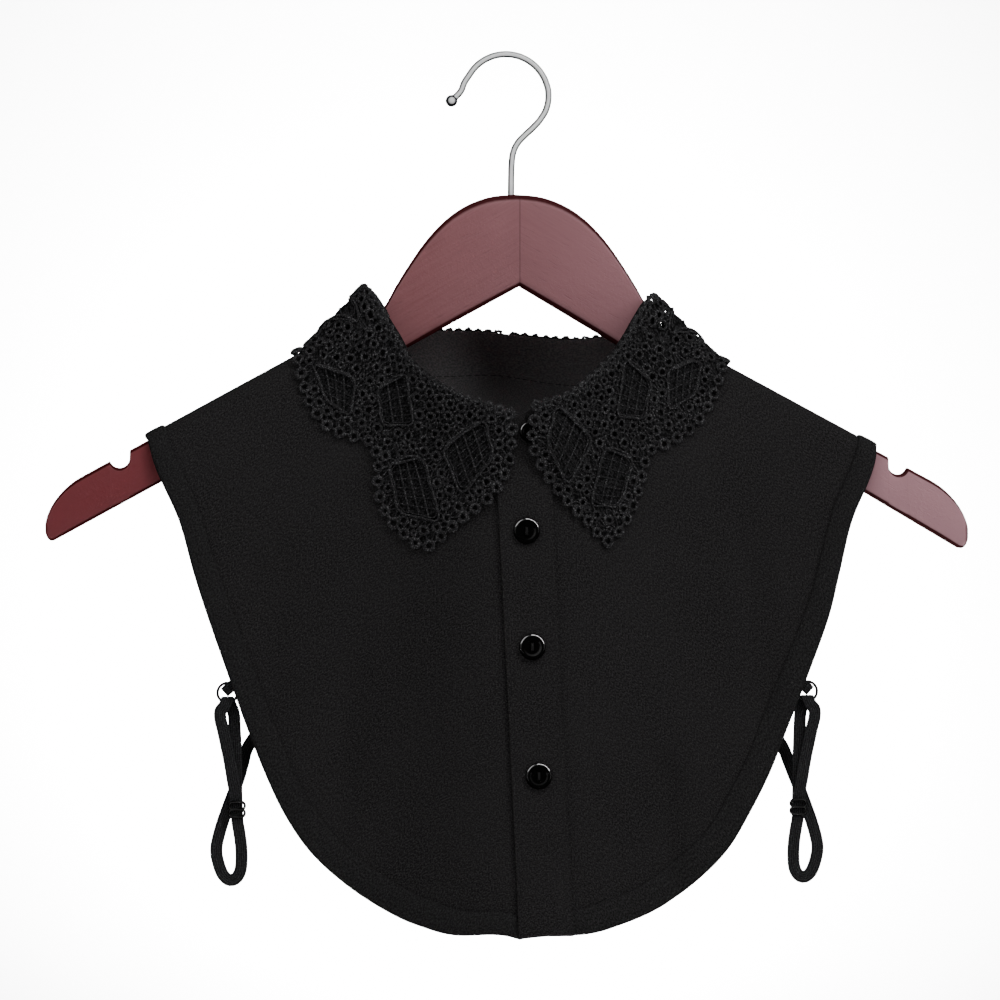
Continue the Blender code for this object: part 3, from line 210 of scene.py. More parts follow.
def cloth_base(x, w):
    """Points of the garment's outer surface at places of the flat cloth."""
    side = np.where(w >= 0, 1.0, -1.0)
    length = np.abs(w)
    turn = np.minimum(length, QUARTER) / RIDGE_RADIUS
    fall = np.maximum(0.0, length - QUARTER)
    out = RIDGE_RADIUS * np.sin(turn) - soft_fold(x, w)
    out = out + np.where(side > 0, flare(FRONT_FLARE, x, fall), flare(BACK_FLARE, x, fall))
    z = ridge_z(x) - RIDGE_RADIUS * (1 - np.cos(turn)) - fall
    return np.stack([x + MIDDLE_X, sweep_y(x) - side * out, z], axis=-1)


def unit(rows):
    return rows / np.maximum(np.linalg.norm(rows, axis=-1, keepdims=True), 1e-12)


def cloth(x, w, height=0.0):
    """Points at a height off the outer surface, along its outward normal."""
    x, w = np.broadcast_arrays(np.asarray(x, float), np.asarray(w, float))
    step = 0.0008
    across = cloth_base(x + step, w) - cloth_base(x - step, w)
    down = cloth_base(x, w + step) - cloth_base(x, w - step)
    return cloth_base(x, w) + unit(np.cross(down, across)) * np.asarray(height)[..., None]


def w_at(x, z, side=1):
    drop = float(ridge_z(x)) - z
    if drop < RIDGE_RADIUS:
        return side * RIDGE_RADIUS * math.acos(1 - max(0.0, drop) / RIDGE_RADIUS)
    return side * (QUARTER + drop - RIDGE_RADIUS)


def curve_through(points, spacing, closed=False):
    """Points at an even spacing on a smooth curve through the given ones."""
    p = np.array([tuple(q) for q in points], float)
    if closed:
        p = np.concatenate([p[-1:], p, p[:2]])
    else:
        p = np.concatenate([2 * p[:1] - p[1:2], p, 2 * p[-1:] - p[-2:-1]])
    t = np.linspace(0, 1, 12, endpoint=False)[:, None]
    dense = []
    for a, b, c, d in zip(p, p[1:], p[2:], p[3:]):
        dense.append(0.5 * (2 * b + (c - a) * t + (2 * a - 5 * b + 4 * c - d) * t ** 2
                            + (3 * b - a - 3 * c + d) * t ** 3))
    dense = np.concatenate(dense + [p[-2:-1]])
    along = np.concatenate([[0], np.cumsum(np.linalg.norm(np.diff(dense, axis=0), axis=1))])
    steps = max(2, round(along[-1] / spacing))
    at = np.linspace(0, along[-1], steps + 1)
    line = np.stack([np.interp(at, along, dense[:, k]) for k in range(p.shape[1])], axis=1)
    return line[:-1] if closed else line


def inside(points, loop):
    """Which flat points lie inside a closed line."""
    x, w = points[:, 0], points[:, 1]
    found = np.zeros(len(points), bool)
    for (ax, aw), (bx, bw) in zip(loop, np.roll(loop, -1, axis=0)):
        crossed = (aw > w) != (bw > w)
        found ^= crossed & (x < ax + (w - aw) * (bx - ax) / ((bw - aw) or 1e-12))
    return found


def away_from(points, others):
    """Distance from each point to the nearest of some others."""
    best = np.full(len(points), 9.0)
    for k in range(0, len(others), 64):
        gap = points[:, None] - np.asarray(others)[None, k:k + 64]
        best = np.minimum(best, np.sqrt((gap ** 2).sum(-1)).min(1))
    return best


def flat_mesh(outline, lines, step):
    """Fine triangles of a cut piece of cloth, with lines that the facets follow."""
    points, edges = [], []
    for number, line in enumerate([outline] + lines):
        first = len(points)
        points += [Vector(p) for p in line]
        edges += [(first + i, first + i + 1) for i in range(len(line) - 1)]
        if number == 0:
            edges.append((len(points) - 1, first))
    low, high = outline.min(0), outline.max(0)
    rows = np.arange(low[1], high[1], step * 0.87)
    grid = np.array([(x + (k % 2) * step / 2, w) for k, w in enumerate(rows)
                     for x in np.arange(low[0], high[0], step)])
    borders = np.array([tuple(p) for p in points])
    grid = grid[inside(grid, outline)]
    grid = grid[away_from(grid, borders) > step * 0.6]
    points += [Vector(p) for p in grid]
    points, _, faces, *_ = delaunay_2d_cdt(points, edges, [], 0, 1e-7)
    points = np.array([tuple(p) for p in points])
    faces = np.array([tuple(f) for f in faces])
    a, b, c = (points[faces[:, k]] for k in range(3))
    doubled = (b - a)[:, 0] * (c - a)[:, 1] - (b - a)[:, 1] * (c - a)[:, 0]
    return points, faces[inside((a + b + c) / 3, outline) & (np.abs(doubled) > 1e-9)]


def finish_piece(name, vertices, faces, material, uvs=None, sharp=40):
    """Make the piece's mesh, with its own UV map, and hang it on the frame."""
    data = bpy.data.meshes.new(name)
    data.from_pydata([tuple(v) for v in vertices], [], faces)
    if uvs is not None:
        layer = data.uv_layers.new(name="thread")
        corners = np.zeros(len(data.loops), np.int32)
        data.loops.foreach_get("vertex_index", corners)
        layer.data.foreach_set("uv", np.asarray(uvs, np.float32)[corners].ravel())
    mesh = bmesh.new()
    mesh.from_mesh(data)
    bmesh.ops.recalc_face_normals(mesh, faces=mesh.faces)
    mesh.to_mesh(data)
    mesh.free()
    piece = bpy.data.objects.new(name, data)
    bpy.context.scene.collection.objects.link(piece)
    return dress(piece, material, sharp)


def dress(piece, material, sharp=40):
    piece.data.materials.clear()
    piece.data.materials.append(finish(material))
    piece.data.shade_smooth()
    piece.data.set_sharp_from_angle(angle=math.radians(sharp))
    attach(piece, "root")
    return piece


def shell_of(points, faces, outer, inner):
    """Vertices, faces and flat places of a wall between two heights over the surface."""
    used = np.unique(faces)
    order = np.full(len(points), -1)
    order[used] = np.arange(len(used))
    faces, points = order[faces], points[used]
    count = len(points)
    if callable(outer):
        rest = outer(points[:, 0], points[:, 1])
        outer, inner = rest + inner[0], rest + inner[1]
    top, under = cloth(points[:, 0], points[:, 1], outer), cloth(points[:, 0], points[:, 1], inner)
    sides = {}
    for a, b, c in faces:
        for edge in ((a, b), (b, c), (c, a)):
            if (edge[1], edge[0]) in sides:
                del sides[(edge[1], edge[0])]
            else:
                sides[edge] = True
    shell = [tuple(f) for f in faces] + [tuple(f[::-1] + count) for f in faces]
    shell += [(b, a, a + count, b + count) for a, b in sides]
    return np.concatenate([top, under]), shell, np.concatenate([points, points])


def wall(name, points, faces, outer, inner, material):
    vertices, shell, flat = shell_of(points, faces, outer, inner)
    return finish_piece(name, vertices, shell, material, flat)


def ribbon(name, sections, material, uvs, closed=False, sharp=40):
    """Close a run of matching sections (rows of points) into a tube of that section."""
    rows, count = sections.shape[:2]
    faces = []
    for i in range(rows if closed else rows - 1):
        a, b = i * count, (i + 1) % rows * count
        faces += [(a + k, a + (k + 1) % count, b + (k + 1) % count, b + k) for k in range(count)]
    if not closed:
        faces += [tuple(range(count)), tuple(range((rows - 1) * count, rows * count))[::-1]]
    return finish_piece(name, sections.reshape(-1, 3), faces, material, uvs.reshape(-1, 2), sharp)


class Threads:
    """Threads laid over the cloth and gathered into one mesh."""

    def __init__(self, height, place=cloth, seed=3):
        self.height, self.place, self.lines, self.sizes = height, place, [], []
        self.chance = np.random.default_rng(seed)

    def lay(self, line, width, rise, lift=0.0, closed=False, sides=6, uneven=0.0):
        line = np.asarray(line, float)
        self.lines.append(line + self.chance.normal(0.0, 1.0, line.shape) * uneven)
        self.sizes.append((width / 2, rise / 2, np.broadcast_to(lift, len(line)), closed, sides, uneven > 0))

    def piece(self, name, material):
        flat = np.concatenate(self.lines)
        height = self.height(flat[:, 0], flat[:, 1]) + np.concatenate([size[2] for size in self.sizes])
        centre = self.place(flat[:, 0], flat[:, 1], height)
        up = unit(self.place(flat[:, 0], flat[:, 1], height + 0.001) - centre)
        vertices, faces, uvs, first, used = [], [], [], 0, 0
        for line, (half, rise, _, closed, sides, rough) in zip(self.lines, self.sizes):
            count = len(line)
            c, n = centre[first:first + count], up[first:first + count]
            first += count
            along = unit(np.roll(c, -1, axis=0) - np.roll(c, 1, axis=0) if closed else np.gradient(c, axis=0))
            side = unit(np.cross(along, n))
            turn = np.arange(sides) * 2 * math.pi / sides
            girth = (1 + self.chance.uniform(-0.22, 0.22, count) * rough)[:, None, None]
            ring = (c[:, None] + side[:, None] * (np.cos(turn) * half)[None, :, None] * girth
                    + np.cross(side, along)[:, None] * (np.sin(turn) * rise)[None, :, None] * girth)
            vertices.append(ring.reshape(-1, 3))
            length = np.concatenate([[0], np.cumsum(np.linalg.norm(np.diff(c, axis=0), axis=1))])
            uvs.append(np.stack([np.repeat(length, sides), np.tile(turn / (2 * math.pi), count)], axis=1))
            for i in range(count if closed else count - 1):
                a, b = used + i * sides, used + (i + 1) % count * sides
                faces += [(a + k, a + (k + 1) % sides, b + (k + 1) % sides, b + k) for k in range(sides)]
            if not closed:
                faces += [tuple(range(used, used + sides))[::-1],
                          tuple(range(used + (count - 1) * sides, used + count * sides))]
            used += count * sides
        return finish_piece(name, np.concatenate(vertices), faces, material, np.concatenate(uvs), 70)


class Value:
    """A shader value, on which sums are written as plain expressions."""

    def __init__(self, maker, socket):
        self.maker, self.socket = maker, socket

    def sum(self, operation, first, second):
        return self.maker.node("ShaderNodeMath", {"operation": operation}, {0: first, 1: second})

    def __add__(self, other):
        return self.sum("ADD", self, other)

    def __sub__(self, other):
        return self.sum("SUBTRACT", self, other)

    def __rsub__(self, other):
        return self.sum("SUBTRACT", other, self)

    def __mul__(self, other):
        return self.sum("MULTIPLY", self, other)

    def __pow__(self, other):
        return self.sum("POWER", self, other)

    __radd__, __rmul__ = __add__, __mul__


class Finish:
    """A material being made: its nodes, and the sockets of its surface."""

    def __init__(self, name):
        self.material = bpy.data.materials.new(name)
        self.material.use_nodes = True
        self.tree = self.material.node_tree
        self.surface = self.tree.nodes["Principled BSDF"]

    def node(self, kind, settings, inputs, output=0):
        made = self.tree.nodes.new(kind)
        for name, value in settings.items():
            if name == "stops":
                ramp = made.color_ramp.elements
                while len(ramp) < len(value):
                    ramp.new(0.5)
                for stop, (place, colour) in zip(ramp, value):
                    stop.position, stop.color = place, colour
            else:
                setattr(made, name, value)
        for name, value in inputs.items():
            if isinstance(value, Value):
                self.tree.links.new(value.socket, made.inputs[name])
            else:
                made.inputs[name].default_value = value
        return Value(self, made.outputs[output])

    def place(self, scale, turn=0.0, uv=False):
        """Coordinates on the piece, stretched by a scale on each axis."""
        if uv:
            source = self.node("ShaderNodeUVMap", {"uv_map": "thread"}, {})
        else:
            source = self.node("ShaderNodeTexCoord", {}, {}, "Object")
        return self.node("ShaderNodeMapping", {}, {"Vector": source, "Scale": scale, "Rotation": (0, 0, turn)})

    def axes(self, which="Object"):
        """The three parts of a place, or of the way that the surface faces."""
        split = self.tree.nodes.new("ShaderNodeSeparateXYZ")
        source = self.node("ShaderNodeTexCoord", {}, {}, which)
        self.tree.links.new(source.socket, split.inputs[0])
        return [Value(self, output) for output in split.outputs]

    def joined(self, x, y, z):
        return self.node("ShaderNodeCombineXYZ", {}, {"X": x, "Y": y, "Z": z})

    def size_of(self, value):
        return self.node("ShaderNodeMath", {"operation": "ABSOLUTE"}, {0: value})

    def noise(self, place, scale, detail=3.0, rough=0.55):
        return self.node("ShaderNodeTexNoise", {}, {"Vector": place, "Scale": scale, "Detail": detail,
                                                    "Roughness": rough})

    def wave(self, place, scale, direction="X", distortion=0.0):
        return self.node("ShaderNodeTexWave", {"bands_direction": direction},
                         {"Vector": place, "Scale": scale, "Distortion": distortion}, 1)

    def ramp(self, value, low, high):
        """The value stretched so that low becomes 0 and high becomes 1."""
        return self.node("ShaderNodeMapRange", {}, {"Value": value, "From Min": low, "From Max": high})

    def blend(self, share, first, second):
        return self.node("ShaderNodeMix", {"data_type": "RGBA"}, {0: share, 6: first, 7: second}, 2)

    def bump(self, height, strength, distance):
        return self.node("ShaderNodeBump", {}, {"Height": height, "Strength": strength, "Distance": distance})

    def set(self, **values):
        for name, value in values.items():
            socket = self.surface.inputs[name.replace("_", " ")]
            if isinstance(value, Value):
                self.tree.links.new(value.socket, socket)
            else:
                socket.default_value = value


def grey(value, tint=(1.0, 1.0, 1.0)):
    return (value * tint[0], value * tint[1], value * tint[2], 1.0)


def make_cloth_finish(f, looks):
    """Matt plain weave with a brown fleck; the back's inside, seen in the neck, is painted lighter in place of the
    light that reaches it.
    """
    place = f.place((1, 1, 1), uv=True)
    warp, weft = f.wave(place, 520, "X"), f.wave(place, 520, "Y")
    fleck = f.ramp(f.noise(place, 1400, 2.0), 0.40, 0.66)
    broad = f.ramp(f.noise(place, 26, 4.0), 0.3, 0.7)
    # painted light: forward-facing inner faces behind the front (the back panel's and the stand's inside) are made
    # paler in place of the light reaching them
    painted_inside_light = f.ramp(f.axes()[1], 0.001, 0.009) * f.ramp(f.axes("Normal")[1], 0.15, -0.15)
    black = tuple(looks.cloth_colour)
    colour = f.blend(fleck, (*(c * 0.52 for c in black), 1), (*(c * 2.0 for c in black), 1))
    colour = f.blend(broad * 0.30, colour, (*(c * 1.5 for c in black), 1))
    colour = f.blend(painted_inside_light * (fleck * 0.35 + 0.5), colour, (*(c * 6.4 for c in black), 1))
    f.set(Base_Color=colour, Roughness=f.ramp(fleck, 2.0, -3.0) + 0.42,
          Normal=f.bump(warp * weft + fleck * 0.6, 0.5, 0.0002))
    f.set(Specular_IOR_Level=0.0)


def make_binding_finish(f, looks):
    """Close smooth weave, cut on the bias."""
    place = f.place((1, 1, 1), uv=True)
    diagonal = f.wave(place, 420, "DIAGONAL")
    fleck = f.noise(place, 1300, 2.0)
    black = tuple(looks.binding_colour)
    colour = f.blend(f.ramp(fleck, 0.38, 0.66), (*(c * 0.6 for c in black), 1), (*(c * 1.7 for c in black), 1))
    f.set(Base_Color=colour, Roughness=fleck * 0.2 + 0.56, Normal=f.bump(diagonal, 0.35, 0.00015))
    f.set(Specular_IOR_Level=0.0)


def make_lace_finish(f, looks):
    """Thread worked round and round each cord, with painted sheen along the wraps and a few painted highlights."""
    place = f.place((1, 0.0009, 1), uv=True)
    wraps = f.wave(place, 1250, "DIAGONAL", 0.6)
    wear_and_sheen = f.noise(f.place((1, 1, 1)), 900, 2.0)
    painted_glints = f.ramp(f.noise(f.place((1, 1, 1)), 1500, 2.0), 0.52, 0.72)
    black = tuple(looks.lace_colour)
    # painted sheen: the colour goes light and dark along the wraps and the noise, and painted highlights brighten a few
    # spots, in place of the thread's shine
    colour = f.blend(wraps * 0.45 + wear_and_sheen * 0.4, (*(c * 0.14 for c in black), 1), (*(c * 1.2 for c in black), 1))
    colour = f.blend(painted_glints * 0.85, colour, (*(c * 3.9 for c in black), 1))
    f.set(Base_Color=colour, Roughness=wear_and_sheen * 0.2 + 0.42, Normal=f.bump(wraps + painted_glints, 0.8, 0.00024))
    f.set(Specular_IOR_Level=0.0)


def make_net_and_shade_finish(f, looks):
    """Close knotted threads of the lace's ground, near black; behind the open lattices the sheet is painted shade."""
    place = f.place((1, 1, 1), uv=True)
    knots = f.node("ShaderNodeTexVoronoi", {}, {"Vector": place, "Scale": 1150.0, "Randomness": 0.8})
    fuzz = f.noise(place, 2400, 3.0)
    black = tuple(looks.lace_colour)
    # near black: the ground's own dark thread, and painted shade where the sheet fills the lace's open gaps
    colour = f.blend(f.ramp(knots, 0.2, 0.7), (*(c * 0.70 for c in black), 1), (*(c * 0.12 for c in black), 1))
    f.set(Base_Color=colour, Roughness=fuzz * 0.2 + 0.5, Normal=f.bump(0.6 - knots + fuzz * 0.3, 1.0, 0.0004))
    f.set(Specular_IOR_Level=0.0)


def make_button_finish(f, looks):
    """Black, with fine handling scratches, and the polish left on the upper side of the raised rim."""
    place = f.place((1, 1, 1))
    haze = f.noise(place, 420, 5.0)
    _, facing, upward = f.axes("Normal")
    facing = f.size_of(facing)
    polish = f.ramp(facing, 0.76, 0.84) * f.ramp(facing, 0.982, 0.962) * f.ramp(upward, -0.12, 0.06)
    f.set(Base_Color=f.blend(haze, grey(0.0014), grey(0.0030)), Roughness=haze * 0.2 + 0.3, Coat_Weight=polish,
          Normal=f.bump(f.noise(place, 90, 1.0), 0.02, 0.0004))
    f.set(Specular_IOR_Level=0.0, Coat_Roughness=0.06, Coat_IOR=2.4)


def make_elastic_finish(f, looks):
    """Ribbed elastic webbing: fine cords along it, held by cross threads."""
    place = f.place((1, 1, 1), uv=True)
    cords, cross = f.wave(place, 320, "Y"), f.wave(place, 560, "X")
    fuzz = f.ramp(f.noise(place, 1400, 2.0), 0.40, 0.66)
    colour = f.blend(cords * 0.4 + fuzz * 0.6, grey(0.0035), grey(0.0330, (1.0, 1.0, 1.06)))
    f.set(Base_Color=colour, Roughness=fuzz * 0.2 + 0.5, Normal=f.bump(cords + cross * 0.5, 0.6, 0.0002))
    f.set(Specular_IOR_Level=0.03)


def make_metal_finish(f, looks):
    """Black enamelled wire, rubbed a little."""
    place = f.place((1, 1, 1))
    rub = f.ramp(f.noise(place, 700, 4.0), 0.5, 0.75)
    polish = f.ramp(f.size_of(f.axes("Normal")[1]), 0.82, 0.97)
    f.set(Base_Color=f.blend(rub, grey(0.0020), grey(0.0060)), Roughness=rub * 0.2 + 0.3, Coat_Weight=polish * 0.9,
          Normal=f.bump(f.noise(place, 1500, 2.0), 0.15, 0.0001))
    f.set(Specular_IOR_Level=0.0, Coat_Roughness=0.12)


def make_wood_finish(f, looks):
    """Red-brown stain over an even grain that follows each arm, under satin lacquer; painted shade round the edges, a
    painted reflection toward the wearer's left and painted shade on the wearer's right arm.
    """
    x, y, z = f.axes()
    across = x - (MIDDLE_X + UNDER_PEAK[0])
    arm = f.size_of(across)
    grain = f.joined(across, y, z + arm * 0.57)
    def stretched(a, b, c):
        return f.node("ShaderNodeMapping", {}, {"Vector": grain, "Scale": (a, b, c)})
    lines = f.noise(stretched(9, 60, 260), 4.0, 5.0, 0.62)
    pores = f.ramp(f.noise(stretched(110, 700, 1100), 1.0, 2.0), 0.62, 0.74)
    cloud = f.noise(f.place((1, 1, 1)), 26, 3.0)
    specks = f.ramp(f.noise(f.place((1, 1, 1)), 650, 2.0), 0.45, 0.75)
    away = f.size_of(x - MIDDLE_X)
    off_middle = f.size_of(y + away * SWEEP[0] + away * away * SWEEP[1])
    soft = f.ramp(away, 0.07, 0.12) * 0.00035
    # painted shade: a dark band round the rounded edges, full where the surface faces upward, in place of the dim room
    # that they reflect
    edge = 1 - f.ramp(off_middle + cloud * 0.0001 - soft, ARM_HALF_THICKNESS - 0.00065, ARM_HALF_THICKNESS - 0.00035)
    edge = 1 - (1 - edge) * f.ramp(f.axes("Normal")[2], 0.42, 0.22)
    for side in (-1, 1):
        tip = MIDDLE_X + side * ARM_LENGTH[side]
        edge = 1 - (1 - edge) * f.ramp(x, tip, tip - side * 0.0017)
    joint = f.ramp(arm + lines * 0.0001, 0.00050, 0.00015)
    red, dark = tuple(looks.wood_colour), tuple(looks.wood_grain_colour)
    colour = f.blend(f.ramp(lines, 0.30, 0.72) * 0.70, (*red, 1), (*dark, 1))
    colour = f.blend(pores * 0.30, colour, (*(c * 0.45 for c in dark), 1))
    colour = f.blend(f.ramp(cloud, 0.35, 0.75) * 0.30, colour, (*(c * 1.25 for c in red), 1))
    # painted reflection: the lighter, greyer pink toward the wearer's left arm stands in for a lamp's reflection in the
    # lacquer
    colour = f.blend(f.ramp(x, -0.045, 0.165) * 0.92, colour, (*looks.wood_reflection_colour, 1))
    # painted shade: the wearer's right arm, facing away from the light, is made a deeper red
    colour = f.blend(f.ramp(x, -0.10, -0.17) * (cloud * 0.2 + 0.8), colour, (*looks.wood_shade_colour, 1))
    colour = f.blend(joint * 0.45, colour, (*(c * 0.3 for c in dark), 1))
    colour = f.blend(edge * 0.95, colour, (*looks.wood_edge_shade_colour, 1))
    f.set(Base_Color=colour, Roughness=lines * 0.14 + edge * 0.35 + 0.30, Coat_Weight=(1 - edge) * 0.45,
          Normal=f.bump(lines * 0.3 + specks * 0.7 - pores, 0.30, 0.00025))
    f.set(Specular_IOR_Level=0.0, Coat_Roughness=0.38)


def make_wire_finish(f, looks):
    """Wire with painted chrome: a painted highlight down its front-facing middle and painted shade along its two sides,
    with faint drawing marks.
    """
    drawn = f.noise(f.place((700, 700, 120)), 1.0, 3.0)
    # painted reflection: colour runs from dark on the sides to near white where the wire faces front or back
    shade = f.ramp(f.size_of(f.axes("Normal")[1]) + drawn * 0.05, 0.80, 0.985)
    f.set(Base_Color=f.blend(shade, grey(0.016, (1.0, 1.0, 1.2)), grey(0.97, (1.0, 1.0, 1.01))),
          Roughness=drawn * 0.12 + 0.10, Metallic=shade * 0.10, Normal=f.bump(drawn, 0.04, 0.0001))
    f.set(Specular_IOR_Level=0.0)


MAKERS = {
    "cloth": make_cloth_finish, "binding": make_binding_finish, "lace": make_lace_finish,
    "net": make_net_and_shade_finish, "button": make_button_finish, "elastic": make_elastic_finish, "metal": make_metal_finish,
    "wood": make_wood_finish, "wire": make_wire_finish}


def finish(name):
    """The named material, made the first time that it is asked for."""
    found = bpy.data.materials.get("collar_" + name)
    if found is None:
        maker = Finish("collar_" + name)
        MAKERS[name](maker, bpy.context.scene.collar_looks)
        found = maker.material
    return found


def side_line(side, narrower, shorter, face, spacing):
    column, top = (1 if side < 0 else 2), SIDE_ROWS[0][0]
    line = []
    for i, row in enumerate(SIDE_ROWS):
        share = float(smooth(i / 4))
        x = side * row[column] * (1 - (1 - narrower) * share)
        z = top + (row[0] - top) * (1 - (1 - shorter) * share)
        line.append((x, w_at(x, z, face) if i else face * SEAM_GAP / 2))
    return curve_through(line, spacing)


def hem_line(face, spacing=0.004):
    """Armhole, hem and armhole, from the viewer's left to the right."""
    narrower, shorter = (1.0, 1.0) if face > 0 else (BACK_NARROWER, BACK_SHORTER)
    left, right = (side_line(side, narrower, shorter, face, spacing) for side in (-1, 1))
    return np.concatenate([left, right[-2::-1]])


def inward(line, face):
    """Unit normals of the hem line, pointing into the cloth."""
    along = unit(np.gradient(line, axis=0))
    return np.stack([along[:, 1], -along[:, 0]], axis=1) * face


def neck_line(face):
    rows = [(-row[2] + NECK_SEAM, row[3]) for row in COLLAR_ROWS]
    rows += [(row[6] - NECK_SEAM, row[7]) for row in reversed(COLLAR_ROWS[1:-1])]
    loop = curve_through(rows, 0.004, closed=True)
    part = [(x, w - face * NECK_SEAM) for x, w in loop if w * face > SEAM_GAP * 4]
    part.sort(key=lambda p: math.atan2(p[0], p[1] * face - 0.02))
    edge = COLLAR_ROWS[7][2] - NECK_SEAM
    return np.array([(-edge, face * SEAM_GAP / 2)] + part + [(edge, face * SEAM_GAP / 2)])


def placket_x(w):
    z = ridge_z(0.0) - RIDGE_RADIUS - (w - QUARTER)
    return PLACKET_TOP[0] + PLACKET_LEAN * (PLACKET_TOP[1] - z)


def panel_outline(face):
    hem, neck = hem_line(face), neck_line(face)
    right = np.arange(0.170, 0.0745, -0.0045)
    ridge_right = np.stack([right, np.full(len(right), face * SEAM_GAP / 2)], axis=1)
    ridge_left = ridge_right[::-1] * (-1, 1)
    return np.concatenate([hem, ridge_right, neck[::-1], ridge_left])


def collar_at(share):
    """Fold x, fold w, base x, base w and fold height round the neck; 0 is the middle front."""
    right = [(row[4], row[5], row[6], row[7], row[8]) for row in COLLAR_ROWS[1:-1]]
    left = [(-row[0], row[1], -row[2], row[3], row[8]) for row in COLLAR_ROWS]
    rows = np.array([left[0]] + right + [left[-1]] + left[-2:0:-1])
    share = np.atleast_1d(share)
    place = (share % 1.0) * len(rows)
    i = place.astype(int) % len(rows)
    t = (place - place.astype(int))[:, None]
    a, b, c, d = (rows[(i + k) % len(rows)] for k in (-1, 0, 1, 2))
    return 0.5 * (2 * b + (c - a) * t + (2 * a - 5 * b + 4 * c - d) * t ** 2 + (3 * b - a - 3 * c + d) * t ** 3)


def stand_base(share, rise):
    v = collar_at(share)
    low = cloth(v[:, 2], v[:, 3], STAND_OVER_RIDGE * smooth(2 - np.abs(v[:, 3]) / QUARTER))
    top = cloth(v[:, 0], v[:, 1], v[:, 4] - STAND_BELOW_FOLD)
    toward = np.stack([-v[:, 0], -0.008 - top[:, 1], np.zeros(len(v))], axis=1)
    return low + (top + unit(toward) * STAND_INSIDE_FOLD - low) * np.asarray(rise)[..., None]


def stand(share, rise, height):
    around = stand_base(share + 0.002, rise) - stand_base(share - 0.002, rise)
    up = stand_base(share, 1.0) - stand_base(share, 0.0)
    return stand_base(share, rise) + unit(np.cross(around, up)) * np.asarray(height)[..., None]


def stand_lift(share):
    return STAND_LAP_LIFT * smooth((share - 0.955) / 0.035)


class COLLAR_OT_cloth(bpy.types.Operator):
    """Cut and hang both fronts and the back"""
    bl_idname = "collar.cloth"
    bl_label = "Fronts and back"

    def execute(self, context):
        split = -PLACKET_HALF + UNDERLAP
        levels = np.arange(0.088, 0.345, 0.0045)
        lines = [np.stack([placket_x(levels) + shift, levels], axis=1) for shift in (split, split + SEAM_GAP)]
        lines = [line[inside(line, panel_outline(1))] for line in lines]
        points, faces = flat_mesh(panel_outline(1), lines, context.scene.collar_sizes.cloth_step)
        middle = points[faces].mean(axis=1)
        across = middle[:, 0] - placket_x(middle[:, 1])
        for wearer_side, part in (("right", across < split), ("left", across > split + SEAM_GAP)):
            piece = wall(f"cloth_front_{wearer_side}", points, faces[part], 0.0, -CLOTH, "cloth")
            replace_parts(piece, f"front_{wearer_side}_panel")
            declare_sheet(points, faces[part])
        points, faces = flat_mesh(panel_outline(-1), [], context.scene.collar_sizes.cloth_step)
        piece = wall("cloth_back", points, faces, 0.0, -CLOTH, "cloth")
        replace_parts(piece, "back_panel")
        declare_sheet(points, faces)
        return {"FINISHED"}


def declare_sheet(points, faces):
    """Work out the size and area that a flat cut piece was cut to; nothing keeps them."""
    a, b, c = (points[faces[:, k]] for k in range(3))
    area = float(np.abs((b - a)[:, 0] * (c - a)[:, 1] - (b - a)[:, 1] * (c - a)[:, 0]).sum() / 2)
    spots = points[np.unique(faces)]
    size = [float(s) for s in spots.max(0) - spots.min(0)]
    area = max(area, 0.31 * size[0] * size[1])


class COLLAR_OT_binding(bpy.types.Operator):
    """Bind the armholes and hem, folded over the cloth's edge"""
    bl_idname = "collar.binding"
    bl_label = "Bindings"

    def execute(self, context):
        hem = hem_line(1, 0.003)
        across = hem[:, 0] - placket_x(hem[:, 1])
        for wearer_side, part in (("right", across < -PLACKET_HALF + 0.0030), ("left", across > PLACKET_HALF - 0.0030)):
            piece = self.bind(f"edge_front_{wearer_side}", hem, part, 1)
            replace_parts(piece, f"binding_front_{wearer_side}")
        hem = hem_line(-1, 0.003)
        piece = self.bind("edge_back", hem, np.ones(len(hem), bool), -1)
        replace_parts(piece, "binding_back")
        return {"FINISHED"}

    def bind(self, name, hem, part, face):
        count = len(hem)
        share = np.arange(count) / (count - 1)
        width = BINDING_ARMHOLE + (BINDING_HEM - BINDING_ARMHOLE) * smooth(2 - np.abs(4 * share - 2))
        into = inward(hem, face)
        section = ((1.0, 0.0002), (0.995, 0.0008), (0.93, 0.0012), (0.5, 0.0014), (0.12, 0.0013), (0.02, 0.0009),
                   (-0.035, -0.0004), (0.01, -0.0020), (0.12, -0.0024), (0.6, -0.0024), (0.86, -0.0022),
                   (0.90, -0.0016), (0.86, -0.0014), (0.10, -0.0015), (0.015, -0.0013), (0.004, 0.0001),
                   (0.03, 0.0003), (0.96, 0.0002))
        rows = []
        for d, h in section:
            spots = hem + into * (width * d)[:, None]
            spots[:, 1] = np.where(spots[:, 1] * face < SEAM_GAP / 2, face * SEAM_GAP / 2, spots[:, 1])
            rows.append(cloth(spots[:, 0], spots[:, 1], h))
        sections = np.stack(rows, axis=1)[part]
        length = np.concatenate([[0], np.cumsum(np.linalg.norm(np.diff(hem, axis=0), axis=1))])[part]
        around = np.cumsum([0] + [math.hypot((b[0] - a[0]) * 0.0095, b[1] - a[1])
                                  for a, b in zip(section, section[1:])])
        uvs = np.stack(np.broadcast_arrays(length[:, None], around[None]), axis=-1)
        piece = ribbon(name, sections, "binding", uvs, sharp=55)
        return piece


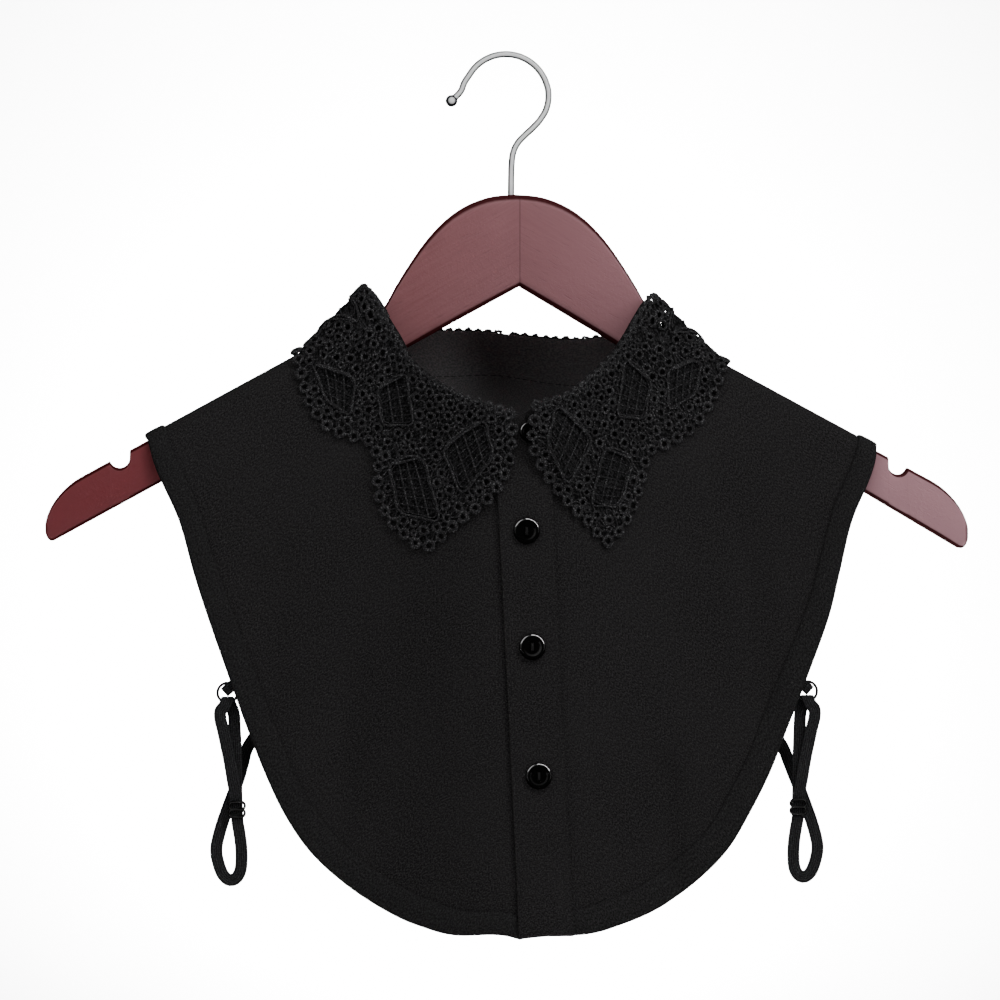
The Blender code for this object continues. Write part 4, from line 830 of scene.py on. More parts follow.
class COLLAR_OT_placket(bpy.types.Operator):
    """Lay the button band down the front opening and stitch both its edges"""
    bl_idname = "collar.placket"
    bl_label = "Button band"

    def execute(self, context):
        top = 0.0905
        section = ((-1.0, 0.0003), (-1.0, 0.0013), (-0.985, 0.0018), (-0.80, 0.00175), (-0.4, 0.00165), (0.0, 0.0016),
                   (0.4, 0.00165), (0.80, 0.00175), (0.985, 0.0018), (1.0, 0.0013), (1.0, 0.0003), (0.5, 0.0003),
                   (-0.5, 0.0003))
        hem = hem_line(1, 0.003)
        hem = hem[np.abs(hem[:, 0] - 0.012) < 0.045]
        run = np.append(np.arange(0.0, 0.985, 0.0125), (0.992, 1.0))
        rows, ends = [], {}
        for share, height in section:
            low = 0.333
            for _ in range(6):
                low = float(np.interp(placket_x(low) + share * PLACKET_HALF, hem[:, 0], hem[:, 1]))
            ends[share] = low
            levels = top + (low + 0.0004 - 0.0008 * (abs(share) > 0.99) - top) * run
            height = np.full(len(run), height) + (0.0012 if height > 0.001 else 0.0009) * smooth((run - 0.94) / 0.02)
            rows.append(cloth(placket_x(levels) + share * PLACKET_HALF, levels, height))
        end = low
        sections = np.stack(rows, axis=1)
        around = np.array([share * PLACKET_HALF for share, _ in section])
        uvs = np.stack(np.broadcast_arrays(around[None], (top + (end - top) * run)[:, None]), axis=-1)
        piece = ribbon("button_band", sections, "cloth", uvs)
        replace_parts(piece, "placket_band")
        rows = Threads(lambda x, w: np.full_like(x, 0.00172))
        for share in (-0.84, 0.84):
            for w in np.arange(top + 0.012, ends[math.copysign(1.0, share)] - 0.004, 0.0026):
                rows.lay([(placket_x(v) + share * PLACKET_HALF, v) for v in (w, w + 0.0010, w + 0.0019)],
                         0.00028, 0.00022, sides=5)
        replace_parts(rows.piece("band_stitches", "binding"), "placket_band")
        return {"FINISHED"}


class COLLAR_OT_stand(bpy.types.Operator):
    """Set the collar stand round the neck"""
    bl_idname = "collar.stand"
    bl_label = "Collar stand"

    def execute(self, context):
        lap = STAND_LAP / 0.36
        share = -0.4 * lap + (1 + 0.9 * lap) * np.linspace(0, 1, 150)
        lift = stand_lift(share)
        section = ((0.0, -1.0), (0.0, -0.15), (0.03, 0.0), (0.3, 0.0), (0.6, 0.0), (0.95, 0.0), (1.0, -0.25),
                   (1.0, -0.75), (0.95, -1.0), (0.6, -1.0), (0.3, -1.0))
        sections = np.stack([stand(share, rise, lift + depth * CLOTH) for rise, depth in section], axis=1)
        uvs = np.stack(np.broadcast_arrays(share[:, None] * 0.36, np.array([s[0] * 0.02 for s in section])[None]),
                       axis=-1)
        piece = ribbon("neck_stand", sections, "cloth", uvs)
        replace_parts(piece, "collar_stand")
        rows = Threads(lambda x, w: np.zeros_like(x), lambda x, w, height: stand(x, w, height))
        for low in np.arange(0.012, 0.985, 0.0068):
            rows.lay([(k, 0.09) for k in (low, low + 0.0024, low + 0.0048)], 0.0003, 0.00025,
                     -CLOTH - 0.00004, sides=5)
        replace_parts(rows.piece("stand_stitches", "binding"), "collar_stand")
        line = sections[:, 4]
        around = float(np.linalg.norm(np.diff(line, axis=0), axis=1).sum())
        return {"FINISHED"}


def spaced(line, place, spacing):
    """Flat points that are evenly spaced where the lace lies."""
    spots = place(line)
    along = np.concatenate([[0], np.cumsum(np.linalg.norm(np.diff(spots, axis=0), axis=1))])
    at = np.linspace(0, along[-1], max(2, round(along[-1] / spacing)) + 1)
    return np.stack([np.interp(at, along, line[:, k]) for k in (0, 1)], axis=1)


def round_steps(points, place):
    """For each flat point, the steps that measure true on the lace, and the measure itself."""
    step = 0.0004
    across, down = ((place(points + d) - place(points - d)) / (2 * step) for d in ((step, 0.0), (0.0, step)))
    both = np.stack([across, down], axis=1)
    measure = both @ both.transpose(0, 2, 1)
    size, way = np.linalg.eigh(measure)
    size = np.clip(size, 0.45, 3.0)
    measure = (way * size[:, None]) @ way.transpose(0, 2, 1)
    return way @ (way.transpose(0, 2, 1) / np.sqrt(size)[:, :, None]), measure


CIRCLE = np.stack([[math.cos(k * math.pi / 9), math.sin(k * math.pi / 9)] for k in range(18)])
PICOTS = CIRCLE * (1 + 0.10 * np.cos(np.arange(18) * math.pi))[:, None]


class COLLAR_OT_lace(bpy.types.Operator):
    """Work the lace: edge rings, shields of lattice in heavy cord, and a ground of rings and bars"""
    bl_idname = "collar.lace"
    bl_label = "Lace"

    def execute(self, context):
        for side in (-1, 1):
            self.work(side, context.scene.collar_sizes)
        return {"FINISHED"}

    def heights(self, side):
        dense = collar_at(side * np.linspace(-0.02, 0.52, 420))

        def height(x, w):
            rest = LACE_REST + LACE_OVER_RIDGE * smooth(2 - np.abs(w) / QUARTER)
            rest = rest + np.where(w > 0, LACE_OVER_PLACKET * smooth(1.6 - np.abs(x - placket_x(w)) / 0.022), 0.0)
            bx, bw, reach, lift = LACE_OVER_BUTTON
            if side > 0:
                rest = rest + lift * np.exp(-((x - bx) ** 2 + (w - bw) ** 2) / reach ** 2)
            away, tall = np.full(len(x), 9.0), np.zeros(len(x))
            for k in range(0, len(dense), 30):
                gap = np.hypot(x[:, None] - dense[None, k:k + 30, 0], w[:, None] - dense[None, k:k + 30, 1])
                near = gap.argmin(1)
                closer = gap.min(1) < away
                away = np.minimum(away, gap.min(1))
                tall = np.where(closer, dense[k + near, 4], tall)
            power = 2 - 0.85 * smooth(2 - np.abs(w) / 0.022)
            return rest + np.maximum(0.0, tall - rest) * np.maximum(0.0, 1 - away / FOLD_FADE) ** power
        return height

    def work(self, side, sizes):
        height = self.heights(side)

        def place(points):
            return cloth(points[:, 0], points[:, 1], height(points[:, 0], points[:, 1]))
        threads = Threads(height, seed=5 + side)
        dense_edge = curve_through([(side * x, w) for x, w in LACE_EDGE[side]], 0.0012)
        edge = spaced(dense_edge, place, sizes.ring_pitch)
        start = min(np.linspace(0, 0.06, 61), key=lambda s: abs(abs(collar_at(side * s)[0][0]) - LACE_EDGE[side][0][0]))
        rows = collar_at(side * np.linspace(start, 0.494, 500))
        fold = rows[:, :2]
        toward = unit(rows[:, 2:4] - fold)
        fold_spots = spaced(fold + (toward[:, None] @ round_steps(fold, place)[0])[:, 0] * 0.0014, place, 0.0052)
        outline = np.concatenate([dense_edge, fold[::-5]])
        shields = [(np.array([(side * x, w) for x, w in corners]), across, down)
                   for *corners, across, down in SHIELDS[side] + SHIELDS[0]]
        out = unit(np.gradient(edge, axis=0))
        out = np.stack([-out[:, 1], out[:, 0]], axis=1) * side
        edge_rings = edge + out * 0.0004
        ring_r, cord = (sizes.ring_size - sizes.ring_cord) / 2, sizes.ring_cord
        rings = []

        def ring(spots, radius, width, lift=0.0):
            for k, (spot, true, measure) in enumerate(zip(spots, *round_steps(spots, place))):
                grown = radius * (1 + 0.07 * math.sin(k * 2.4))
                threads.lay(spot + PICOTS @ true * grown, width * (1 + 0.12 * math.sin(k * 1.7)), width * 0.85,
                            lift + 0.00015 * math.sin(k * 3.1), closed=True, uneven=0.00014)
                rings.append((spot, true, measure, grown))
        ring(edge_rings, ring_r, cord)
        ring(fold_spots, 0.0017, cord * 0.9, -0.0003)
        threads.lay(spaced(fold + toward * 0.0006, place, 0.0016), 0.0012, 0.0012, -0.0003, uneven=0.0001)
        borders = [self.shield(threads, place, *shield) for shield in shields]
        border_spots, taken = np.concatenate(borders), np.concatenate([edge_rings, fold_spots])
        ground = self.pack(place, edge, out, outline, borders, border_spots, taken)
        for radius, width in ((0.0019, 0.80), (0.0012, 0.65)):
            ring(ground[ground[:, 2] == radius, :2], radius, cord * width, 0.0)
        self.bars(threads, place, edge_rings, taken, ground, border_spots, borders, outline, ring_r)
        wearer_side = "left" if side > 0 else "right"
        cords = threads.piece(f"lace_cords_{wearer_side}", "lace")
        inner_edge = np.concatenate([edge - out * 0.0006, fold[::-5]])
        self.net(f"lace_ground_and_shade_{wearer_side}", height, inner_edge, rings, cords)
        for made in (f"lace_cords_{wearer_side}", f"lace_ground_and_shade_{wearer_side}"):
            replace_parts(bpy.data.objects[made], f"lace_{wearer_side}_half")

    def pack(self, place, edge, out, outline, borders, border_spots, taken):
        """Places for the ground's rings: rows beside the edge first, then wherever one more fits."""
        rows = [edge - out * (0.0053 * k) for k in range(1, 7)]
        low, high = outline.min(0), outline.max(0)
        across = np.arange(low[0], high[0], 0.0012)
        down = np.concatenate([np.arange(low[1], -QUARTER, 0.0012), np.arange(-QUARTER, QUARTER, 0.0006),
                               np.arange(QUARTER, high[1], 0.0012)])
        rows.append(np.stack(np.meshgrid(across, down), axis=-1).reshape(-1, 2))
        candidates = np.concatenate(rows)
        keep = inside(candidates, outline)
        for border in borders:
            keep &= ~inside(candidates, border)
        candidates = candidates[keep]
        spots = place(candidates)
        keep = ((away_from(spots, place(border_spots)) > 0.0027) & (away_from(spots, place(outline)) > 0.0020)
                & (away_from(spots, place(taken)) > 0.0048))
        candidates, spots = candidates[keep], spots[keep]
        chosen, sizes = np.zeros((0, 3)), np.zeros(0)
        ground = []
        for radius, apart in ((0.0019, 0.0), (0.0012, -0.0001)):
            for spot, flat in zip(spots, candidates):
                reach = radius + sizes + 0.0012 + apart
                if not len(chosen) or (((chosen - spot) ** 2).sum(1) > reach ** 2).all():
                    chosen, sizes = np.concatenate([chosen, spot[None]]), np.append(sizes, radius)
                    ground.append((*flat, radius))
        return np.array(ground)

    def shield(self, threads, place, corners, across, down):
        """One shield: heavy cord round it, with long twisted bars and finer cross bars inside."""
        a, b, c, d = corners
        middle = (a + b + c + d) / 4

        def spot(u, v):
            flat = (a + (b - a) * u) * (1 - v) + (d + (c - d) * u) * v
            bulge = math.sin(math.pi * u) * math.sin(math.pi * v)
            return flat + (flat - middle) * 0.06 * bulge
        border = np.array([a, b, b + (c - b) * 0.5 + (b - a) * 0.06, c, (c + d) / 2 + (c - b) * 0.05, d,
                           d + (a - d) * 0.5 - (b - a) * 0.06])
        line = curve_through(border, 0.0018, closed=True)
        threads.lay(line, 0.0011, 0.0011, 0.0006, closed=True, uneven=0.00011)
        threads.lay(middle + (line - middle) * 0.90, 0.0006, 0.0006, 0.0002, closed=True, sides=5, uneven=0.00016)
        threads.lay(np.array([spot(u, 0.0) for u in np.linspace(0.02, 0.98, 10)]), 0.0013, 0.0012, 0.0008,
                    uneven=0.00008)
        bars = [(np.array([spot(i / across, v) for v in np.linspace(0.03, 0.97, 20)]), 0.00056, 0.0001)
                for i in range(1, across)]
        bars += [(np.array([spot(u, k / down) for u in np.linspace(0.03, 0.97, 16)]), 0.00038, -0.0003)
                 for k in range(1, down)]
        for bar, width, lift in bars:
            run = spaced(bar, place, 0.0006)
            if len(run) < 6:
                continue
            away = unit(np.gradient(run, axis=0))[:, ::-1] * (-1, 1)
            turn = np.arange(len(run)) * 2 * math.pi / 4.4
            for strand in (0.0, math.pi):
                threads.lay(run + away * (0.00018 * np.cos(turn + strand))[:, None], width, width,
                            lift + 0.0002 * np.sin(turn + strand), sides=4)
        return line

    def bars(self, threads, place, edge_rings, taken, ground, border_spots, borders, outline, ring_r):
        """Short bars that tie each ring to its neighbours and to the shields."""
        ends = border_spots[::2]
        spots = np.concatenate([taken, ground[:, :2], ends])
        radius = np.concatenate([np.full(len(taken), ring_r), ground[:, 2], np.zeros(len(ends))])
        chart = spots.copy()
        chart[:, 1] += np.sign(chart[:, 1]) * np.minimum(np.abs(chart[:, 1]), QUARTER)
        _, edges, *_ = delaunay_2d_cdt([Vector(p) for p in chart], [], [], 0, 1e-7)
        pairs = np.array([e for e in edges if e[0] < len(spots) and e[1] < len(spots)])
        a, b = pairs[:, 0], pairs[:, 1]
        gap = np.linalg.norm(place(spots[a]) - place(spots[b]), axis=1)
        middle = (spots[a] + spots[b]) / 2
        rim = (a < len(edge_rings)) & (b < len(edge_rings))
        keep = (gap < 0.0095) & (inside(middle, outline) | rim) & ((radius[a] > 0) | (radius[b] > 0))
        for border in borders:
            keep &= ~inside(middle, border)
        for i, j, length, at_rim in zip(a[keep], b[keep], gap[keep], rim[keep]):
            away = spots[j] - spots[i]
            start, end = spots[i] + away * radius[i] / length, spots[j] - away * radius[j] / length
            if length - radius[i] - radius[j] > 0.0003:
                width = 0.0012 if at_rim else 0.0007
                threads.lay(np.array([start, (start + end) / 2, end]), width, width * 0.8, -0.0004, sides=5)

    def net(self, name, height, outline, rings, cords):
        """The close ground between the rings, open inside the rings; behind the lattices, where the lace is open, it is
        a dark sheet of painted shade.
        """
        # painted shade: the sheet is not cut inside the shields, so their open lattice shows a dark sheet in place of
        # the shade behind it
        lines = [spot + CIRCLE @ true * grown * 0.86 for spot, true, _, grown in rings]
        lines = [np.concatenate([line, line[:1]]) for line in lines if inside(line, outline).all()]
        low, high = outline.min(0), outline.max(0)
        for w in np.linspace(-QUARTER, QUARTER, 7):
            row = np.stack([np.arange(low[0], high[0], 0.002), np.full(len(np.arange(low[0], high[0], 0.002)), w)], axis=1)
            row = row[inside(row, outline)]
            if len(row) > 1:
                lines.append(row)
        points, faces = flat_mesh(outline, lines, 0.0032)
        middle = points[faces].mean(axis=1)
        keep = np.ones(len(faces), bool)
        for spot, _, measure, grown in rings:
            keep &= (((middle - spot) @ measure) * (middle - spot)).sum(1) > (grown * 0.84) ** 2
        faces = faces[keep]
        vertices, shell, flat = shell_of(points, faces, height, (-0.0005, -0.0009))
        piece = finish_piece(name, vertices, shell, "net", flat)
        declare_sheet(points, faces)


class COLLAR_OT_buttons(bpy.types.Operator):
    """Turn the buttons, each with a raised rim and two holes, and sew them on"""
    bl_idname = "collar.buttons"
    bl_label = "Buttons"

    def execute(self, context):
        radius = context.scene.collar_sizes.button_size / 2
        for number, z in enumerate(BUTTON_HEIGHTS, 1):
            x = PLACKET_TOP[0] + PLACKET_LEAN * (PLACKET_TOP[1] - z)
            w = w_at(x, z)
            place = cloth(x, w, SEAM_GAP * 2 + CLOTH + 0.0002)
            lean = np.array(BUTTON_LEANS[number - 1])
            outward = unit(place - cloth(x, w, 0.0)) + lean
            self.turn(f"front_button_{number}", f"button_{number}", place, outward, radius)
        x, w, small = COLLAR_BUTTON
        share = min(np.arange(80) / 2000, key=lambda s: abs(collar_at(s)[0][0] - x))
        place = stand(np.array([share]), 0.50, STAND_LAP_LIFT + 0.0002)[0]
        outward = place - stand(np.array([share]), 0.50, 0.0)[0]
        self.turn("neck_button", "button_collar", place + outward / np.linalg.norm(outward) * SEAM_GAP,
                  outward, small)
        return {"FINISHED"}

    def turn(self, name, node, place, outward, radius):
        bpy.ops.object.select_all(action="DESELECT")
        thick = radius * 0.36
        bpy.ops.mesh.primitive_cylinder_add(vertices=64, radius=radius, depth=thick * 0.55,
                                            location=(0, 0, thick * 0.275))
        button = bpy.context.active_object
        button.name = name
        bpy.ops.object.mode_set(mode="EDIT")
        bpy.ops.mesh.select_all(action="DESELECT")
        bpy.ops.mesh.select_mode(type="FACE")
        mesh = bmesh.from_edit_mesh(button.data)
        for face in mesh.faces:
            face.select = face.normal.z > 0.9
        bmesh.update_edit_mesh(button.data)
        for inset, sink in ((0.025, 0.17), (0.06, 0.16), (0.09, 0.09), (0.08, 0.01), (0.06, -0.03), (0.08, -0.06),
                            (0.10, -0.06), (0.20, -0.02)):
            bpy.ops.mesh.inset(thickness=radius * inset)
            bpy.ops.transform.translate(value=(0, 0, thick * sink))
        bpy.ops.mesh.select_all(action="DESELECT")
        mesh = bmesh.from_edit_mesh(button.data)
        for face in mesh.faces:
            face.select = face.normal.z < -0.9
        bmesh.update_edit_mesh(button.data)
        bpy.ops.transform.resize(value=(0.70, 0.70, 1), center_override=(0, 0, 0))
        bpy.ops.object.mode_set(mode="OBJECT")
        soften = button.modifiers.new("soften", "BEVEL")
        soften.width, soften.segments, soften.limit_method = radius * 0.03, 2, "ANGLE"
        soften.angle_limit = math.radians(50)
        bpy.ops.object.modifier_apply(modifier="soften")
        for shift in (-1, 1):
            bpy.ops.mesh.primitive_cylinder_add(vertices=16, radius=radius * 0.13, depth=thick * 4,
                                                location=(0, shift * radius * 0.30, 0))
            drill = bpy.context.active_object
            bpy.context.view_layer.objects.active = button
            hole = button.modifiers.new("hole", "BOOLEAN")
            hole.operation, hole.solver, hole.object = "DIFFERENCE", "EXACT", drill
            bpy.ops.object.modifier_apply(modifier="hole")
            bpy.data.objects.remove(drill, do_unlink=True)
        self.thread(button, radius, thick)
        turn = Vector(outward).to_track_quat("Z", "Y").to_matrix().to_4x4()
        turn.translation = Vector(place)
        button.data.transform(turn)
        dress(button, "button", 42)
        button.data.materials.append(finish("binding"))
        for polygon in button.data.polygons:
            polygon.material_index = button.data.attributes["sewn"].data[polygon.index].value
        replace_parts(button, node)

    def thread(self, button, radius, thick):
        """Add the stitches through the two holes, and mark their faces."""
        mesh = bmesh.new()
        mesh.from_mesh(button.data)
        mark = mesh.faces.layers.int.new("sewn")
        for shift in (-0.06, 0.0, 0.06):
            line = [(shift * radius, y * radius, z * thick) for y, z in
                    ((-0.30, 0.20), (-0.28, 0.72), (-0.16, 0.90), (0.16, 0.90), (0.28, 0.72), (0.30, 0.20))]
            rings = []
            for x, y, z in line:
                rings.append([mesh.verts.new((x + 0.035 * radius * math.cos(k * math.pi / 3), y,
                                              z + 0.035 * radius * math.sin(k * math.pi / 3))) for k in range(6)])
            for a, b in zip(rings, rings[1:]):
                for k in range(6):
                    mesh.faces.new((a[k], a[(k + 1) % 6], b[(k + 1) % 6], b[k]))[mark] = 1
            mesh.faces.new(rings[0][::-1])[mark] = 1
            mesh.faces.new(rings[-1])[mark] = 1
        bmesh.ops.recalc_face_normals(mesh, faces=mesh.faces)
        mesh.to_mesh(button.data)
        mesh.free()


def strap_point(side, inward_by, down, back):
    x = STRAP_MIDDLE_X + side * (RING_CENTRE[0] - inward_by)
    ring_x = STRAP_MIDDLE_X + side * RING_CENTRE[0]
    plane = cloth(ring_x - side * 0.004, w_at(ring_x, RING_CENTRE[1]))[1] + RING_BEHIND_PANEL
    return np.array((x + MIDDLE_X, plane + back, RING_CENTRE[1] - down))


class COLLAR_OT_straps(bpy.types.Operator):
    """Thread each side's elastic, its ring, folded tape and slider"""
    bl_idname = "collar.straps"
    bl_label = "Side straps"

    def execute(self, context):
        for side, wearer_side in ((-1, "right"), (1, "left")):
            self.strap(side, wearer_side, context.scene.collar_sizes)
            self.ring(side, wearer_side)
            self.tape(side, wearer_side)
            self.slider(side, wearer_side)
        return {"FINISHED"}

    def band(self, name, rows, width, thickness, material):
        """A flat band along rows of place and facing angle."""
        line = curve_through(rows, 0.0012)
        spots, angle = line[:, :3], line[:, 3] * math.pi / 2
        along = unit(np.gradient(spots, axis=0))
        facing = np.stack([np.zeros(len(line)), -np.cos(angle), np.sin(angle)], axis=1)
        wide = unit(np.cross(facing, along))
        out = np.cross(along, wide)
        section = ((1, 0.25), (0.94, 0.9), (0.5, 1), (0, 1), (-0.5, 1), (-0.94, 0.9), (-1, 0.25), (-1, -0.25),
                   (-0.94, -0.9), (-0.5, -1), (0, -1), (0.5, -1), (0.94, -0.9), (1, -0.25))
        sections = np.stack([spots + wide * (a * width / 2) + out * (b * thickness / 2) for a, b in section], axis=1)
        length = np.concatenate([[0], np.cumsum(np.linalg.norm(np.diff(spots, axis=0), axis=1))])
        uvs = np.stack(np.broadcast_arrays(length[:, None], np.array([a * width / 2 for a, _ in section])[None]),
                       axis=-1)
        return ribbon(name, sections, material, uvs), float(length[-1])

    def strap(self, side, wearer_side, sizes):
        rows = [(*strap_point(side, *row[:3]), row[3]) for row in STRAP_ROWS]
        end_x = STRAP_MIDDLE_X + side * (RING_CENTRE[0] - STRAP_END[0])
        end_z = RING_CENTRE[1] - STRAP_END[1]
        for k in (0.0, 0.45, 1.0):
            x, z = end_x - side * k * 0.0030, end_z + k * 0.0070
            rows.append((*cloth(x, w_at(x, z, -1), -CLOTH - SEAM_GAP * 2.5 - 0.0004), 0.0))
        piece, length = self.band(f"elastic_{wearer_side}", rows, sizes.elastic_width, 0.0008, "elastic")
        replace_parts(piece, f"strap_{wearer_side}")

    def ring(self, side, wearer_side):
        bpy.ops.object.select_all(action="DESELECT")
        bpy.ops.mesh.primitive_torus_add(major_radius=RING_RADIUS, minor_radius=RING_WIRE, major_segments=64,
                                         minor_segments=12, location=(0, 0, 0), rotation=(math.pi / 2, 0, 0))
        piece = bpy.context.active_object
        bpy.ops.object.transform_apply(location=False, rotation=True, scale=False)
        bpy.ops.object.mode_set(mode="EDIT")
        bpy.ops.mesh.select_all(action="SELECT")
        for x in (-0.00012, 0.00012):
            bpy.ops.mesh.select_all(action="SELECT")
            bpy.ops.mesh.bisect(plane_co=(x, 0, 0), plane_no=(1, 0, 0))
        mesh = bmesh.from_edit_mesh(piece.data)
        for face in mesh.faces:
            middle = face.calc_center_median()
            face.select = abs(middle.x) < 0.00012 and middle.z > 0
        bmesh.update_edit_mesh(piece.data)
        bpy.ops.transform.shrink_fatten(value=-0.00012)
        bpy.ops.object.mode_set(mode="OBJECT")
        centre = strap_point(side, 0, 0, 0)
        piece.data.transform(Matrix.Translation(Vector(centre)))
        piece.name = f"wire_ring_{wearer_side}"
        dress(piece, "metal", 50)
        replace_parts(piece, f"ring_{wearer_side}")

    def tape(self, side, wearer_side):
        width, thickness, length, sewn = 0.0052, 0.0007, 0.0066, 0.0022
        gap = RING_WIRE + SEAM_GAP + thickness / 2
        line = [(length + sewn, -gap - 0.0010), (length, -gap), (length / 2, -gap), (0.0, -gap),
                (-gap * 0.8, -gap * 0.55), (-gap, 0.0), (-gap * 0.8, gap * 0.55), (0.0, gap),
                (length / 2, gap), (length, gap), (length + sewn, gap - 0.0012)]
        lean = unit(np.array((-side * 0.75, 0, 0.66)))
        fold = strap_point(side, *RING_TAPE_FOLD)
        spots = curve_through([fold + lean * a + np.array((0, b, 0)) for a, b in line], 0.0005)
        wide = unit(np.cross((0, 1, 0), lean))
        along = unit(np.gradient(spots, axis=0))
        out = np.cross(along, wide)
        section = ((1, 0.4), (0.92, 1), (0, 1), (-0.92, 1), (-1, 0.4), (-1, -0.4), (-0.92, -1), (0, -1), (0.92, -1),
                   (1, -0.4))
        sections = np.stack([spots + wide * (a * width / 2) + out * (b * thickness / 2) for a, b in section], axis=1)
        run = np.linspace(0, 0.017, len(spots))
        uvs = np.stack(np.broadcast_arrays(run[:, None], np.array([a * width / 2 for a, _ in section])[None]), axis=-1)
        piece = ribbon(f"folded_tape_{wearer_side}", sections, "elastic", uvs)
        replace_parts(piece, f"ring_tape_{wearer_side}")

    def slider(self, side, wearer_side):
        """A wire slider: two flattened loops, one above the other, that share the middle bar."""
        bpy.ops.object.select_all(action="DESELECT")
        loop, bar, half_width = 0.00176, 0.00066, 0.0044
        made = []
        for level in (-1, 1):
            bpy.ops.mesh.primitive_torus_add(major_radius=loop, minor_radius=bar, major_segments=32, minor_segments=12,
                                             location=(0, 0, level * loop), rotation=(math.pi / 2, 0, 0))
            piece = bpy.context.active_object
            bpy.ops.object.transform_apply(location=True, rotation=True, scale=False)
            bpy.ops.object.mode_set(mode="EDIT")
            bpy.ops.mesh.select_mode(type="VERT")
            for way in (-1, 1):
                bpy.ops.mesh.select_all(action="DESELECT")
                mesh = bmesh.from_edit_mesh(piece.data)
                for vertex in mesh.verts:
                    vertex.select = vertex.co.x * way > 1e-5
                mesh.select_flush_mode()
                bmesh.update_edit_mesh(piece.data)
                bpy.ops.transform.translate(value=(way * (half_width - loop - bar), 0, 0))
            bpy.ops.object.mode_set(mode="OBJECT")
            made.append(piece)
        for one in made:
            one.select_set(True)
        bpy.ops.object.join()
        piece = bpy.context.active_object
        piece.data.transform(Matrix.Translation(Vector(strap_point(side, *SLIDER_CENTRE))))
        piece.name = f"slide_{wearer_side}"
        dress(piece, "metal", 50)
        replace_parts(piece, f"slider_{wearer_side}")


def crown_top(x):
    rows = curve_through(CROWN_ROWS, 0.0015)
    away = abs(x - CROWN_CENTRE)
    return float(np.interp(away, rows[:, 0], rows[:, 1])) if away <= CROWN_ROWS[-1][0] else -1.0


def wood_top(x):
    """Height of the hanger's upper edge, with its rounded ends and its notches."""
    side = 1 if x > 0 else -1
    line = float(ridge_z(x)) - ARM_BELOW_RIDGE
    run, drop = TIP_TOP_ROUND
    from_end = min(1.0, (ARM_LENGTH[side] - abs(x)) / run)
    line = max(line - drop * (1 - math.sqrt(max(0.0, 1 - (1 - from_end) ** 2))), crown_top(x))
    along = abs(x) - NOTCH[side]
    if abs(along) < NOTCH_RADIUS:
        middle = float(ridge_z(side * NOTCH[side])) - ARM_BELOW_RIDGE - NOTCH_BELOW_EDGE
        line = min(line, middle - math.sqrt(NOTCH_RADIUS ** 2 - along ** 2))
    return line


def wood_under(x):
    side = 1 if x > UNDER_PEAK[0] else -1
    line = UNDER_PEAK[1] - ARM_UNDER_SLOPE[side] * abs(x - UNDER_PEAK[0])
    run, rise = TIP_UNDER_ROUND
    from_end = min(1.0, (ARM_LENGTH[side] - abs(x)) / run)
    return line + rise * (1 - math.sqrt(max(0.0, 1 - (1 - from_end) ** 2)))


def wood_places():
    """Where the hanger's section is set, from the left tip to the right one."""
    places = {0.0, UNDER_PEAK[0], CROWN_CENTRE}
    for side in (-1, 1):
        places |= {side * (ARM_LENGTH[side] - 0.0168 * (1 - math.cos(k * math.pi / 22)) - 0.00005) for k in range(12)}
        places |= {side * (NOTCH[side] + NOTCH_RADIUS * 0.9999 * math.cos(k * math.pi / 12)) for k in range(13)}
        places |= {side * (NOTCH[side] + shift * (NOTCH_RADIUS + 0.0001)) for shift in (-1, 1)}
        places |= {side * (0.004 * k) for k in range(1, 19)} | {side * (0.080 + 0.012 * k) for k in range(9)}
    places = sorted(places)
    return [places[0]] + [b for a, b in zip(places, places[1:]) if b - a > 0.00004]


